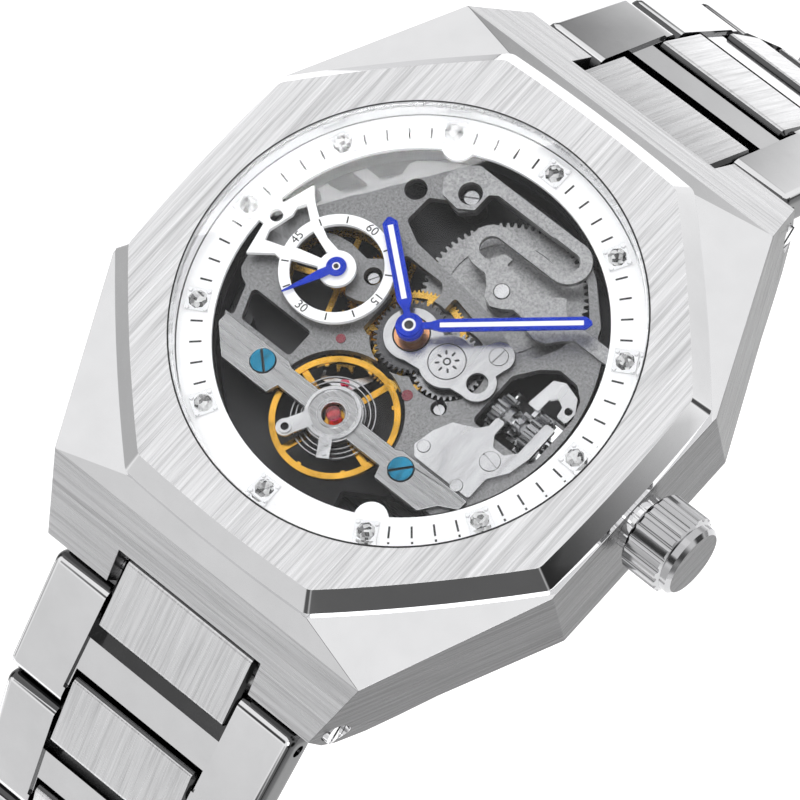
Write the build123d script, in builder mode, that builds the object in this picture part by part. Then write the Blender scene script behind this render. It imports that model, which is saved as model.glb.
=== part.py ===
from build123d import *
import math
import os

os.makedirs("parts", exist_ok=True)

# Skeleton automatic wristwatch.  Millimetres, +Z out of the dial, +Y to 12 o'clock, +X to the crown.
# The origin is the centre of the case back's outer face.

# ---- driving dimensions ----
# case
SIDE_X = 21.2  # half width of the case at 3 and 9 o'clock
SIDE_Y = 8.8  # where the straight flanks end
RIDGE_X, RIDGE_Y, RIDGE_Z = 14.7, 22.4, 8.1  # corner of the ridge above each end face
TIP_Y, TIP_Z = 26.55, 2.8  # lower edge of each end face
ROOF_Z = 9.5  # top of the case middle, where the bezel sits
FLOOR_Z = 1.1
CAVITY_R = 16.8
BACK_R, BACK_TOP = 18.0, 1.65
WINDOW_R, WINDOW_SHOW_R = 15.0, 14.0  # seat of the rear glass, and the part that shows
# bezel and crystal
OCTAGON_LOW_R, OCTAGON_TOP_R = 22.66, 21.39  # circumradii at the foot and the top of the slope
OCTAGON_SAG = 0.25  # bulge of each side
BEZEL_EDGE_Z, BEZEL_TOP = 10.3, 11.85
CRYSTAL_R, CRYSTAL_LOW, CRYSTAL_TOP = 17.2, 11.35, 12.1
DIAL_BORE_R = 16.95
# dial ring
DIAL_LOW, DIAL_Z = 9.6, 10.0
RING_R, RING_BORE = 16.9, 14.35
STONE_RING_R = 15.65
SUB_R, SUB_BORE = 4.25, 3.45
# movement heights
MAIN_LOW, MAIN_TOP = 5.0, 6.0
FRONT_LOW, FRONT_TOP = 8.2, 8.9
BRIDGE_TOP = 9.35
PLATE_R = 13.8
# movement axes
CENTRE = (0.0, 0.0)
BARREL = (2.85, 6.55)
THIRD = (-3.70, 2.36)
FOURTH = (-7.40, 0.3)
ESCAPE = (-3.90, -2.60)
FORK = (-1.75, -5.50)
BALANCE = (-0.3, -8.1)
MINUTE = (3.40, 0.0)
BALANCE_R = 4.75
# hands, as clock angles in degrees, and lengths
MINUTE_ANGLE, MINUTE_LENGTH = 50.2, 13.1
HOUR_ANGLE, HOUR_LENGTH = 308.5, 8.85
SECONDS_ANGLE, SECONDS_LENGTH = 204.6, 4.3
# crown and stem
STEM_Z = 7.1
STEM_R = 0.6
CROWN_X, CROWN_END_X, CROWN_R = 22.2, 26.4, 3.15
# bracelet
PIN_Y, PIN_Z = 24.64, 2.3  # lug pin
SHORT, LONG = 3.3, 7.4  # pivot distances of a centre link and an outer link
LINK_T = 3.1
LINK_END = 1.55
PIN_R, PIN_HOLE_R = 0.5, 0.55
CENTRE_TURNS = (46, 52, 63, 73)  # degrees below the horizontal, centre links, laid open
OUTER_TURNS = (44, 57, 68, 78)  # outer links
NOTCH_TURN = 50  # direction of the notches in the case
CENTRE_WIDTHS = (12.65, 12.2, 11.8, 11.4, 11.0)
OUTER_WIDTHS = (23.3, 22.2, 21.1, 20.0, 18.9)
# clasp, on arcs of one circle through the pivots at its two ends
CLASP_R, CLASP_HALF = 54.97, 20.73  # radius, and degrees from its middle to either end
CLASP_SWING = 100  # degrees about the upper half's last pivot, from buckled to hanging open
COVER_HALF, BLADE_HALF = 9.3, 5.6
# gear teeth
MOTION_A, MOTION_B, MOTION_C, MOTION_D = 12, 36, 10, 40  # cannon, minute wheel, its pinion, hour wheel
BARREL_TEETH, CENTRE_PINION = 70, 14
CENTRE_TEETH, THIRD_PINION = 80, 10
THIRD_TEETH, FOURTH_PINION = 75, 10
FOURTH_TEETH, ESCAPE_PINION = 80, 8
ESCAPE_TEETH = 15


# ---- helpers ----
def save(built, name):
    """Label a finished piece and write it."""
    built.part.label = name
    export_step(built.part, "parts/" + name + ".step")


def polar(radius, degrees, centre=(0.0, 0.0)):
    """A point at a mathematical angle about a centre."""
    angle = math.radians(degrees)
    return (centre[0] + radius * math.cos(angle), centre[1] + radius * math.sin(angle))


def clock(radius, degrees, centre=(0.0, 0.0)):
    """A point at a clock angle, measured clockwise from 12."""
    return polar(radius, 90 - degrees, centre)


def blob(points, radius, mode=Mode.ADD):
    """A polygon with rounded corners, added to the sketch in progress."""
    with BuildLine() as outline:
        FilletPolyline(*points, radius=radius, close=True)
    make_face(outline.edges(), mode=mode)


def plain(points, mode=Mode.ADD):
    """A sharp polygon, added to the sketch in progress."""
    with BuildLine() as outline:
        Polyline(*points, close=True)
    make_face(outline.edges(), mode=mode)


def octagon(radius):
    """The bezel's outline: a regular octagon with bulging sides and eased corners."""
    reach = radius * math.cos(math.pi / 8) + OCTAGON_SAG
    corners = [polar(radius, 22.5 + 45 * i) for i in range(9)]
    with BuildLine() as outline:
        for i in range(8):
            ThreePointArc(corners[i], polar(reach, 45 + 45 * i), corners[i + 1])
    make_face(outline.edges())


def gap(a, b):
    return math.hypot(b[0] - a[0], b[1] - a[1])


def module_of(teeth_a, teeth_b, a, b):
    """Tooth module that brings two wheels into mesh across a centre distance."""
    return 2 * gap(a, b) / (teeth_a + teeth_b)


def mesh(phase, teeth_a, a, teeth_b, b):
    """Phase of wheel b, in radians, that puts its gaps over the teeth of wheel a."""
    line = math.atan2(b[1] - a[1], b[0] - a[0])
    offset = phase - line
    return line + math.pi - offset * teeth_a / teeth_b + math.pi / teeth_b


def toothed(teeth, module, centre, phase):
    """A spur gear's outline, added to the sketch in progress."""
    pitch_r = teeth * module / 2
    root, tip = pitch_r - 1.15 * module, pitch_r + 0.85 * module
    step = 2 * math.pi / teeth
    flanks = ((-0.31, root), (-0.12, tip), (0.12, tip), (0.31, root))
    points = []
    for i in range(teeth):
        for share, radius in flanks:
            angle = phase + (i + share) * step
            points.append((centre[0] + radius * math.cos(angle), centre[1] + radius * math.sin(angle)))
    plain(points)


def spokes(centre, inner, outer, count, width, start):
    """Straight arms between a hub and a rim, added to the sketch in progress."""
    middle = (inner + outer) / 2
    with Locations(centre):
        with PolarLocations(middle, count, start_angle=start):
            Rectangle(outer - inner + 0.3, width)


def disc(centre, radius, low, high, mode=Mode.ADD):
    """A round post or hole between two heights, in the part in progress."""
    with BuildSketch(Plane.XY.offset(low)) as face:
        with Locations(centre):
            Circle(radius)
    extrude(face.sketch, amount=high - low, mode=mode)


def train_wheel(centre, teeth, module, phase, low, high, arms):
    """A crossed-out wheel blank in the part in progress."""
    rim_r = teeth * module / 2 - 1.15 * module - 0.42
    with BuildSketch(Plane.XY.offset(low)) as face:
        toothed(teeth, module, centre, phase)
        with Locations(centre):
            Circle(rim_r, mode=Mode.SUBTRACT)
            Circle(0.85)
        spokes(centre, 0.6, rim_r, arms, 0.42, 20)
    extrude(face.sketch, amount=high - low)


def pinion(centre, teeth, module, phase, low, high):
    """A small solid pinion in the part in progress."""
    with BuildSketch(Plane.XY.offset(low)) as face:
        toothed(teeth, module, centre, phase)
    extrude(face.sketch, amount=high - low)


# ---- gear layout ----
BARREL_MODULE = module_of(BARREL_TEETH, CENTRE_PINION, BARREL, CENTRE)
CENTRE_MODULE = module_of(CENTRE_TEETH, THIRD_PINION, CENTRE, THIRD)
THIRD_MODULE = module_of(THIRD_TEETH, FOURTH_PINION, THIRD, FOURTH)
FOURTH_MODULE = module_of(FOURTH_TEETH, ESCAPE_PINION, FOURTH, ESCAPE)
CANNON_MODULE = module_of(MOTION_A, MOTION_B, CENTRE, MINUTE)
HOUR_MODULE = module_of(MOTION_C, MOTION_D, MINUTE, CENTRE)
CENTRE_PHASE = 0.0
THIRD_PHASE = mesh(CENTRE_PHASE, CENTRE_TEETH, CENTRE, THIRD_PINION, THIRD)
FOURTH_PHASE = mesh(THIRD_PHASE, THIRD_TEETH, THIRD, FOURTH_PINION, FOURTH)
ESCAPE_PHASE = mesh(FOURTH_PHASE, FOURTH_TEETH, FOURTH, ESCAPE_PINION, ESCAPE)
BARREL_PHASE = mesh(CENTRE_PHASE, CENTRE_PINION, CENTRE, BARREL_TEETH, BARREL)
MINUTE_PHASE = mesh(CENTRE_PHASE, MOTION_A, CENTRE, MOTION_B, MINUTE)
HOUR_PHASE = mesh(MINUTE_PHASE, MOTION_C, MINUTE, MOTION_D, CENTRE)


# ==== case ====
TIP_X = RIDGE_X - (SIDE_X - RIDGE_X) / (RIDGE_Y - SIDE_Y) * (TIP_Y - RIDGE_Y)
FLAT = OCTAGON_LOW_R * math.cos(math.pi / 8)
CORNER = (OCTAGON_LOW_R * math.sin(math.pi / 8), FLAT)


def mirrored(points):
    """The points of the +Y half, then the same points reflected for the -Y half."""
    return points + [(-y, z) for y, z in reversed(points)]


def chain(side):
    """Pivots and directions of one half of the bracelet; side is +1 at 12 o'clock, -1 at 6."""
    y, z = PIN_Y, PIN_Z
    rows = []
    for centre_turn, outer_turn in zip(CENTRE_TURNS, OUTER_TURNS):
        for turn, length in ((centre_turn, SHORT), (outer_turn, LONG)):
            along = (math.cos(math.radians(turn)), -math.sin(math.radians(turn)))
            rows.append(((side * y, z), (side * along[0], along[1])))
            y += length * along[0]
            z += length * along[1]
    return rows


def last_pivot(side):
    """The far pivot of one half's last outer link."""
    pivot, along = chain(side)[-1]
    return (pivot[0] + LONG * along[0], pivot[1] + LONG * along[1])


def link_plane(side, pivot, along):
    """Sketch plane across a link: X along the bracelet, Y away from the wrist."""
    return Plane(origin=(0, pivot[0], pivot[1]), x_dir=(0, along[0], along[1]), z_dir=(side, 0, 0))


with BuildPart() as case_body:
    with BuildSketch(Plane.YZ):
        plain(
            mirrored(
                [
                    (17.6, FLOOR_Z),
                    (20.5, 0.7),
                    (22.8, 0.5),
                    (24.9, 0.75),
                    (25.8, 1.3),
                    (TIP_Y, TIP_Z),
                    (RIDGE_Y, RIDGE_Z),
                    (FLAT, ROOF_Z),
                ]
            )
        )
    extrude(amount=SIDE_X + 1, both=True)
    with BuildSketch(Plane.XY):
        half = [(SIDE_X, SIDE_Y), (TIP_X, TIP_Y)]
        mirror_half = [(-x, y) for x, y in reversed(half)]
        upper = half + mirror_half
        plain(upper + [(-x, -y) for x, y in upper])
    extrude(amount=BEZEL_TOP, mode=Mode.INTERSECT)
    # polished corner facets, from the foot of the bezel down to the ridge corners
    for sx in (1, -1):
        for sy in (1, -1):
            facet = Plane(
                origin=(sx * CORNER[0], sy * CORNER[1], ROOF_Z),
                x_dir=(sx * (CORNER[1] - CORNER[0]), sy * (CORNER[0] - CORNER[1]), 0),
                z_dir=Vector(sx * (CORNER[1] - CORNER[0]), sy * (CORNER[0] - CORNER[1]), 0).cross(
                    Vector(sx * (RIDGE_X - CORNER[0]), sy * (RIDGE_Y - CORNER[1]), RIDGE_Z - ROOF_Z)
                )
                * (sx * sy),
            )
            split(bisect_by=facet, keep=Keep.BOTTOM)
    # notches for the first centre links
    for side in (1, -1):
        pivot = chain(side)[0][0]
        along = (side * math.cos(math.radians(NOTCH_TURN)), -math.sin(math.radians(NOTCH_TURN)))
        with BuildSketch(link_plane(side, pivot, along)):
            plain([(-2.15, 5), (8, 5), (8, -6), (-2.15, -6)])
        extrude(amount=CENTRE_WIDTHS[0] / 2 + 0.55, both=True, mode=Mode.SUBTRACT)
        # lug pin hole with a counterbore for each screw head
        with BuildSketch(link_plane(side, pivot, along)):
            Circle(PIN_HOLE_R)
        extrude(amount=SIDE_X, both=True, mode=Mode.SUBTRACT)
        for end in (1, -1):
            with BuildSketch(Plane.YZ.offset(end * 12.5)):
                with Locations(pivot):
                    Circle(1.0)
            extrude(amount=end * 6, mode=Mode.SUBTRACT)
    # seat of the case back, movement cavity and crown tube bore
    disc(CENTRE, BACK_R + 0.1, 0, BACK_TOP, Mode.SUBTRACT)
    disc(CENTRE, CAVITY_R, 0, BEZEL_TOP, Mode.SUBTRACT)
    with BuildSketch(Plane.YZ.offset(CAVITY_R - 2)):
        with Locations((0, STEM_Z)):
            Circle(1.42)
    extrude(amount=SIDE_X, mode=Mode.SUBTRACT)
save(case_body, "case_body")

with BuildPart() as bezel:
    with BuildSketch(Plane.XY.offset(ROOF_Z)) as foot:
        octagon(OCTAGON_LOW_R)
        fillet(foot.vertices(), 1.0)
    extrude(amount=BEZEL_EDGE_Z - ROOF_Z)
    with BuildSketch(Plane.XY.offset(BEZEL_EDGE_Z)) as slope_low:
        octagon(OCTAGON_LOW_R)
        fillet(slope_low.vertices(), 1.0)
    with BuildSketch(Plane.XY.offset(BEZEL_TOP)) as slope_top:
        octagon(OCTAGON_TOP_R)
        fillet(slope_top.vertices(), 0.95)
    loft([slope_low.sketch, slope_top.sketch])
    disc(CENTRE, DIAL_BORE_R, ROOF_Z, BEZEL_TOP, Mode.SUBTRACT)
    disc(CENTRE, CRYSTAL_R + 0.05, CRYSTAL_LOW - 0.02, BEZEL_TOP, Mode.SUBTRACT)
save(bezel, "bezel")

with BuildPart() as crystal:
    disc(CENTRE, CRYSTAL_R, CRYSTAL_LOW, CRYSTAL_TOP)
    chamfer(crystal.edges().group_by(Axis.Z)[-1], 0.2)
save(crystal, "crystal")

with BuildPart() as case_back:
    disc(CENTRE, BACK_R, 0, BACK_TOP)
    disc(CENTRE, 16.6, BACK_TOP, 2.4)
    chamfer(case_back.edges().group_by(Axis.Z)[0], 0.5)
    disc(CENTRE, WINDOW_SHOW_R, 0, 0.6, Mode.SUBTRACT)
    disc(CENTRE, WINDOW_R, 0.6, BACK_TOP, Mode.SUBTRACT)
    disc(CENTRE, 15.6, 1.6, 2.4, Mode.SUBTRACT)
    # six key notches around the rim
    with BuildSketch(Plane.XY):
        with PolarLocations(16.6, 6):
            Rectangle(1.6, 2.2)
    extrude(amount=0.6, mode=Mode.SUBTRACT)
save(case_back, "case_back")

with BuildPart() as back_window:
    # stepped, so that its face is flush with the back
    disc(CENTRE, WINDOW_SHOW_R - 0.03, 0, 0.61)
    disc(CENTRE, WINDOW_R - 0.03, 0.61, 1.3)
save(back_window, "back_window")

with BuildPart() as lug_pins:
    for side in (1, -1):
        pivot, along = chain(side)[0]
        with BuildSketch(Plane.YZ):
            with Locations(pivot):
                Circle(PIN_R)
        extrude(amount=12.6, both=True)
        for end in (1, -1):
            with BuildSketch(Plane.YZ.offset(end * 12.55)):
                with Locations(pivot):
                    Circle(0.93)
            extrude(amount=end * 1.05)
            with BuildSketch(Plane.YZ.offset(end * 13.25)):
                with Locations(pivot):
                    Rectangle(2.2, 0.32, rotation=35)
            extrude(amount=end * 1, mode=Mode.SUBTRACT)
save(lug_pins, "lug_pins")


# ==== crown, tube and stem, all along X ====
def turned(profile):
    """Revolve an (x, radius) profile about the stem axis, in the part in progress."""
    with BuildSketch(Plane.XZ.offset(0)) as face:
        plain([(x, STEM_Z + r) for x, r in profile])
    revolve(face.sketch, axis=Axis((0, 0, STEM_Z), (1, 0, 0)))


with BuildPart() as crown_tube:
    turned(
        [
            (16.9, STEM_R + 0.05), (16.9, 1.4), (20.95, 1.4), (20.95, 2.25), (21.9, 2.25),
            (21.9, 1.4), (23.6, 1.4), (23.6, STEM_R + 0.05),
        ],
    )
    with BuildSketch(Plane.YZ.offset(21.2)):
        with Locations((0, STEM_Z)):
            with PolarLocations(2.3, 18):
                Circle(0.14)
    extrude(amount=1.0, mode=Mode.SUBTRACT)
    # flat against the flank of the case
    with BuildSketch(Plane.YZ.offset(20.9)):
        with Locations((0, STEM_Z)):
            Circle(3)
            Circle(1.4, mode=Mode.SUBTRACT)
    extrude(amount=SIDE_X - 20.9, mode=Mode.SUBTRACT)
save(crown_tube, "crown_tube")

with BuildPart() as crown:
    turned(
        [
            (CROWN_X, 1.5),
            (CROWN_X, CROWN_R - 0.25),
            (CROWN_X + 0.25, CROWN_R),
            (CROWN_END_X - 1.05, CROWN_R),
            (CROWN_END_X - 0.85, CROWN_R - 0.35),
            (CROWN_END_X - 0.3, CROWN_R - 0.35),
            (CROWN_END_X, CROWN_R - 0.65),
            (CROWN_END_X, 0),
            (24.9, 0),
            (24.9, STEM_R + 0.03),
            (23.85, STEM_R + 0.03),
            (23.85, 1.5),
        ]
    )
    # broad flutes round the knurled stretch
    with BuildSketch(Plane.YZ.offset(CROWN_X)):
        with Locations((0, STEM_Z)):
            with PolarLocations(CROWN_R + 0.12, 20):
                Circle(0.3)
    extrude(amount=CROWN_END_X - 0.95 - CROWN_X, mode=Mode.SUBTRACT)
save(crown, "crown")

with BuildPart() as winding_stem:
    turned(
        [
            (7.3, 0), (7.3, 0.35), (7.6, 0.35), (7.6, 0.5), (12.4, 0.5), (12.4, STEM_R),
            (24.8, STEM_R), (24.8, 0),
        ],
    )
save(winding_stem, "winding_stem")


def contrate(low, high, radius, teeth, depth):
    """A toothed drum on the stem axis, in the part in progress."""
    points = []
    for i in range(teeth):
        for share, r in ((-0.3, radius - depth), (-0.14, radius), (0.14, radius), (0.3, radius - depth)):
            angle = 2 * math.pi * (i + share) / teeth
            points.append((r * math.cos(angle), STEM_Z + r * math.sin(angle)))
    with BuildSketch(Plane.YZ.offset(low)) as face:
        plain(points)
    extrude(face.sketch, amount=high - low)


def stem_bore(radius, low, high):
    """A hole along the stem axis, in the part in progress."""
    with BuildSketch(Plane.YZ.offset(low)) as face:
        with Locations((0, STEM_Z)):
            Circle(radius)
    extrude(face.sketch, amount=high - low, mode=Mode.SUBTRACT)


with BuildPart() as winding_pinion:
    contrate(7.9, 8.8, 1.5, 14, 0.3)
    turned([(8.8, 0), (8.8, 1.0), (9.35, 1.0), (9.35, 0)])
    stem_bore(0.54, 7, 10)
save(winding_pinion, "winding_pinion")

with BuildPart() as clutch_wheel:
    contrate(10.95, 11.85, 1.9, 20, 0.28)
    contrate(9.8, 10.35, 1.25, 12, 0.25)
    turned([(10.3, 0), (10.3, 0.8), (11.0, 0.8), (11.0, 0)])
    stem_bore(0.54, 9, 12.3)
save(clutch_wheel, "clutch_wheel")


# ==== dial ring ====
with BuildPart() as chapter_ring:
    with BuildSketch(Plane.XY.offset(DIAL_LOW)):
        Circle(RING_R)
        Circle(RING_BORE, mode=Mode.SUBTRACT)
        with Locations(clock(14.55, 149.5), clock(14.85, 331.9)):
            Circle(1.25)
        with Locations(FOURTH):
            Circle(SUB_R)
            Circle(SUB_BORE, mode=Mode.SUBTRACT)
        # wing that carries the small seconds ring, with a pointed upper arm
        plain(
            [
                (-14.9, 2.2), (-14.2, 1.9), (-13.85, 1.64), (-13.07, 4.15), (-12.5, 3.5),
                (-11.9, 3.05), (-10.8, 2.3), (-9.5, 1.65), (-8.1, 1.4), (-8.1, 0.8),
                (-8.9, 0.8), (-9.8, 1.1), (-10.8, 1.45), (-11.7, 2.1), (-12.5, 2.7),
                (-12.9, 2.1), (-12.7, 1.45), (-13.24, -0.53), (-13.9, -0.4), (-14.9, -0.4),
            ]
        )
        # its lower arm, from the wing's outer leg to the centre of the ring
        plain(
            [
                (-13.9, -0.4), (-13.24, -0.53), (-12.95, -1.3), (-11.6, -0.85), (-10.8, -0.35),
                (-9.7, -0.05), (-8.3, 0.3), (-8.3, -0.35), (-10.4, -1.2), (-11.1, -1.7),
                (-11.7, -1.65), (-13.35, -2.9),
            ]
        )
        with Locations((-13.6, 0.65)):
            Circle(0.5, mode=Mode.SUBTRACT)
        with Locations(FOURTH):
            Circle(1.4)
            Circle(0.5, mode=Mode.SUBTRACT)
    extrude(amount=DIAL_Z - DIAL_LOW)
save(chapter_ring, "chapter_ring")

with BuildPart() as stone_seats:
    with BuildSketch(Plane.XY.offset(DIAL_Z)):
        for hour in range(12):
            with Locations(clock(STONE_RING_R, 30 * hour)):
                Rectangle(1.75, 1.75, rotation=-30 * hour)
    extrude(amount=0.14)
    with BuildSketch(Plane.XY.offset(DIAL_Z + 0.14)):
        for hour in range(12):
            with Locations(Location(clock(STONE_RING_R, 30 * hour), -30 * hour)):
                with GridLocations(1.36, 1.36, 2, 2):
                    Circle(0.17)
    extrude(amount=0.16)
save(stone_seats, "stone_seats")

with BuildPart() as hour_stones:
    for hour in range(12):
        spot = clock(STONE_RING_R, 30 * hour)
        with BuildSketch(Plane.XY.offset(DIAL_Z + 0.15)) as girdle:
            with Locations(spot):
                RegularPolygon(0.72, 8, rotation=22.5)
        with BuildSketch(Plane.XY.offset(DIAL_Z + 0.45)) as table:
            with Locations(spot):
                RegularPolygon(0.42, 8, rotation=22.5)
        loft([girdle.sketch, table.sketch])
save(hour_stones, "hour_stones")


# ==== movement, fixed pieces ====
with BuildPart() as movement_ring:
    disc(CENTRE, CAVITY_R - 0.1, 4.0, 8.1)
    disc(CENTRE, 13.6, 4.0, 4.95, Mode.SUBTRACT)
    disc(CENTRE, 14.25, 4.95, 8.1, Mode.SUBTRACT)
    stem_bore(0.75, 11, 18)
save(movement_ring, "movement_ring")

PIVOTS = (BARREL, CENTRE, THIRD, FOURTH, ESCAPE, FORK, BALANCE, MINUTE)
PIVOT_R, BEARING_R = 0.16, 0.22
SMALL_SCREW = (-5.35, 1.75)  # in the bridge beside the small seconds
SCREW_WELLS = (((-4.0, 10.9), 0.9), ((-7.5, 8.8), 0.85), ((5.15, -2.95), 0.6), (SMALL_SCREW, 0.7))
POSTS = ((-9.6, 7.1), (-10.9, -6.6), (11.1, 5.9), (7.6, -5.0), (-4.0, 10.9))
BRIDGE_SCREWS = ((-7.0, -8.25), (6.3, -8.25))

with BuildPart() as mainplate:
    disc(CENTRE, 14.2, MAIN_LOW, MAIN_TOP)
    # opening in the plate, seen from the back
    with BuildSketch(Plane.XY.offset(MAIN_LOW)):
        blob([(3.4, -13.2), (9.6, -10.0), (7.8, -8.4), (2.9, -11.4)], 0.4)
        # pocket under the winding parts
        plain([(7.5, -2.3), (12.2, -2.3), (12.2, 2.3), (7.5, 2.3)])
    extrude(amount=MAIN_TOP - MAIN_LOW, mode=Mode.SUBTRACT)
    for post in POSTS:
        disc(post, 0.9, MAIN_TOP, FRONT_LOW)
    for post in BRIDGE_SCREWS:
        disc(post, 1.2, MAIN_TOP, 8.85)
    for pivot in PIVOTS:
        disc(pivot, BEARING_R, MAIN_TOP - 0.6, MAIN_TOP, Mode.SUBTRACT)
save(mainplate, "mainplate")

with BuildPart() as front_plate:
    with BuildSketch(Plane.XY.offset(FRONT_LOW)):
        Circle(PLATE_R)
        # balance, motion work and barrel openings
        with Locations(BALANCE):
            Circle(BALANCE_R + 0.35, mode=Mode.SUBTRACT)
        Circle(3.1, mode=Mode.SUBTRACT)
        with Locations(MINUTE):
            Circle(2.9, mode=Mode.SUBTRACT)
        plain([(-15, -9.4), (15, -9.4), (15, -15), (-15, -15)], Mode.SUBTRACT)
        blob(
            [
                (-2.9, 12.0),
                (-2.9, 10.2),
                (-3.9, 9.3),
                (-5.1, 9.6),
                (-6.3, 8.9),
                (-6.4, 6.6),
                (-4.6, 5.7),
                (0.4, 5.2),
                (3.6, 4.7),
                (6.4, 3.7),
                (8.1, 4.3),
                (8.9, 6.0),
                (9.4, 8.6),
                (7.2, 10.9),
                (5.0, 12.2),
            ],
            0.35,
            Mode.SUBTRACT,
        )
        # black crescent beside the dial ring at 12 to 2 o'clock
        blob(
            [
                (-4.4, 12.9), (-4.4, 16), (14, 16), (14, 8.1), (10.5, 8.1), (10.1, 9.0),
                (7.4, 11.6), (5.4, 12.9),
            ],
            0.4, Mode.SUBTRACT,
        )
        # windows over the centre wheel
        blob(
            [
                (-4.7, 4.5), (-1.1, 4.5), (-0.6, 3.9), (-0.6, 2.9), (-2.6, 1.2), (-3.9, 1.6),
            ],
            0.3, Mode.SUBTRACT,
        )
        blob([(0.4, 4.2), (2.9, 3.7), (2.4, 2.1), (0.4, 2.1)], 0.25, Mode.SUBTRACT)
        blob([(-3.25, 1.9), (-2.4, 1.6), (-2.4, -2.0), (-3.25, -1.7)], 0.25, Mode.SUBTRACT)
        # left-hand cut-outs
        blob(
            [
                (-13.6, 7.8), (-9.6, 12.6), (-8.5, 12.6), (-8.7, 11.0), (-9.2, 10.0), (-9.1, 9.0),
                (-9.8, 7.8),
            ],
            0.3, Mode.SUBTRACT,
        )
        blob([(-14.4, 5.6), (-13.9, 6.9), (-10.2, 6.9), (-11.3, 5.3), (-12.6, 5.1)], 0.25, Mode.SUBTRACT)
        blob(
            [
                (-14.8, 4.4), (-12.8, 4.3), (-12.2, 3.8), (-12.4, 3.1), (-13.6, 2.2), (-14.8, 2.2),
            ],
            0.25, Mode.SUBTRACT,
        )
        blob(
            [
                (-14.8, -3.4), (-13.5, -3.5), (-12.8, -4.2), (-12.1, -4.5), (-11.2, -6.9),
                (-14.8, -6.9),
            ],
            0.25, Mode.SUBTRACT,
        )
        blob([(-11.6, -4.3), (-5.9, -4.3), (-5.9, -6.7), (-10.6, -6.7)], 0.35, Mode.SUBTRACT)
        # small seconds well, with the bridge that crosses it
        with Locations(FOURTH):
            Circle(3.8, mode=Mode.SUBTRACT)
        blob(
            [
                (-11.6, 1.6), (-9.6, 2.5), (-8.3, 2.7), (-6.6, 2.5), (-5.6, 3.3), (-3.6, 3.2),
                (-3.5, 0.4), (-5.0, -0.4), (-6.0, -0.6), (-6.8, 0.6), (-8.8, 1.5),
            ],
            0.25,
        )
        # keyless works
        blob(
            [
                (7.6, -2.2),
                (7.6, 2.2),
                (8.8, 3.8),
                (10.0, 4.7),
                (11.7, 4.6),
                (12.7, 3.8),
                (13.2, 2.4),
                (13.2, -2.2),
            ],
            0.5,
            Mode.SUBTRACT,
        )
        # screw wells
        for spot, radius in SCREW_WELLS:
            with Locations(spot):
                Circle(radius, mode=Mode.SUBTRACT)
        # clearance beside the balance
        plain([(4.4, -8.3), (6.3, -8.3), (6.3, -9.6), (4.4, -9.6)], Mode.SUBTRACT)
    extrude(amount=FRONT_TOP - FRONT_LOW)
    for post in BRIDGE_SCREWS:
        disc(post, 1.25, FRONT_LOW, FRONT_TOP, Mode.SUBTRACT)
save(front_plate, "front_plate")

with BuildPart() as barrel_bridge:
    with BuildSketch(Plane.XY.offset(FRONT_TOP)):
        # top bar, right-hand bend, middle bar and left-hand bend
        blob(
            [
                (-6.2, 12.0), (-4.9, 13.0), (5.1, 13.0), (5.1, 12.05), (-2.3, 12.05), (-2.9, 11.6),
                (-2.9, 10.1), (-4.0, 9.4), (-5.6, 9.6), (-6.3, 10.6),
            ],
            0.3,
        )
        with Locations((5.1, 11.3)):
            Circle(1.72)
            Circle(0.82, mode=Mode.SUBTRACT)
        plain([(3.0, 12.12), (5.1, 12.12), (5.1, 10.48), (3.0, 10.48)], Mode.SUBTRACT)
        plain([(-0.1, 10.46), (5.1, 10.46), (5.1, 9.58), (-0.1, 9.58)])
        with Locations((0.0, 8.68)):
            Circle(1.78)
            Circle(0.9, mode=Mode.SUBTRACT)
        blob(
            [
                (0.0, 9.58), (6.0, 9.58), (6.0, 8.9), (1.1, 8.9), (0.3, 7.78), (0.0, 7.78),
            ],
            0.1, Mode.SUBTRACT,
        )
        # body over the barrel arbor and the foot at 2 o'clock
        blob(
            [
                (-0.1, 7.7),
                (-0.1, 6.9),
                (0.9, 6.9),
                (1.6, 6.3),
                (2.1, 5.5),
                (2.9, 5.15),
                (3.7, 5.5),
                (4.4, 6.0),
                (5.3, 5.95),
                (6.1, 5.4),
                (7.1, 5.2),
                (8.0, 5.5),
                (8.7, 6.3),
                (9.4, 6.95),
                (12.7, 6.95),
                (12.2, 8.0),
                (9.5, 8.0),
                (8.5, 7.6),
                (7.6, 8.2),
                (6.8, 9.1),
                (6.1, 8.5),
                (5.2, 8.1),
                (4.2, 7.9),
                (3.0, 8.2),
                (1.9, 8.3),
                (1.1, 8.8),
                (0.4, 7.8),
            ],
            0.2,
        )
        with Locations((-4.0, 10.9)):
            Circle(0.9, mode=Mode.SUBTRACT)
        with Locations(BARREL):
            Circle(0.62, mode=Mode.SUBTRACT)
    extrude(amount=BRIDGE_TOP - FRONT_TOP)
save(barrel_bridge, "barrel_bridge")

with BuildPart() as cover_plate:
    with BuildSketch(Plane.XY.offset(9.05)):
        Circle(2.05)
        with Locations(MINUTE):
            Circle(2.05)
        with Locations((6.2, 0.1)):
            Circle(1.4)
        with Locations((6.05, 2.6)):
            Circle(1.15)
        blob([(0.3, 1.9), (0.3, -1.9), (6.2, -1.25), (7.1, 2.2), (5.2, 3.2), (4.0, 1.95), (2.0, 1.4)], 0.3)
        Circle(1.4, mode=Mode.SUBTRACT)
        with Locations((6.2, 0.1)):
            Circle(0.8, mode=Mode.SUBTRACT)
        with Locations((6.05, 2.6)):
            Circle(0.72, mode=Mode.SUBTRACT)
    extrude(amount=0.33)
    # round engraved motif: a ring, a centre hole and eight slots
    with BuildSketch(Plane.XY.offset(9.3)):
        with Locations(MINUTE):
            Circle(1.42)
            Circle(1.34, mode=Mode.SUBTRACT)
            Circle(0.3)
            Circle(0.18, mode=Mode.SUBTRACT)
            with PolarLocations(0.72, 8):
                SlotCenterToCenter(0.2, 0.16)
    extrude(amount=0.1, mode=Mode.SUBTRACT)
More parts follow.
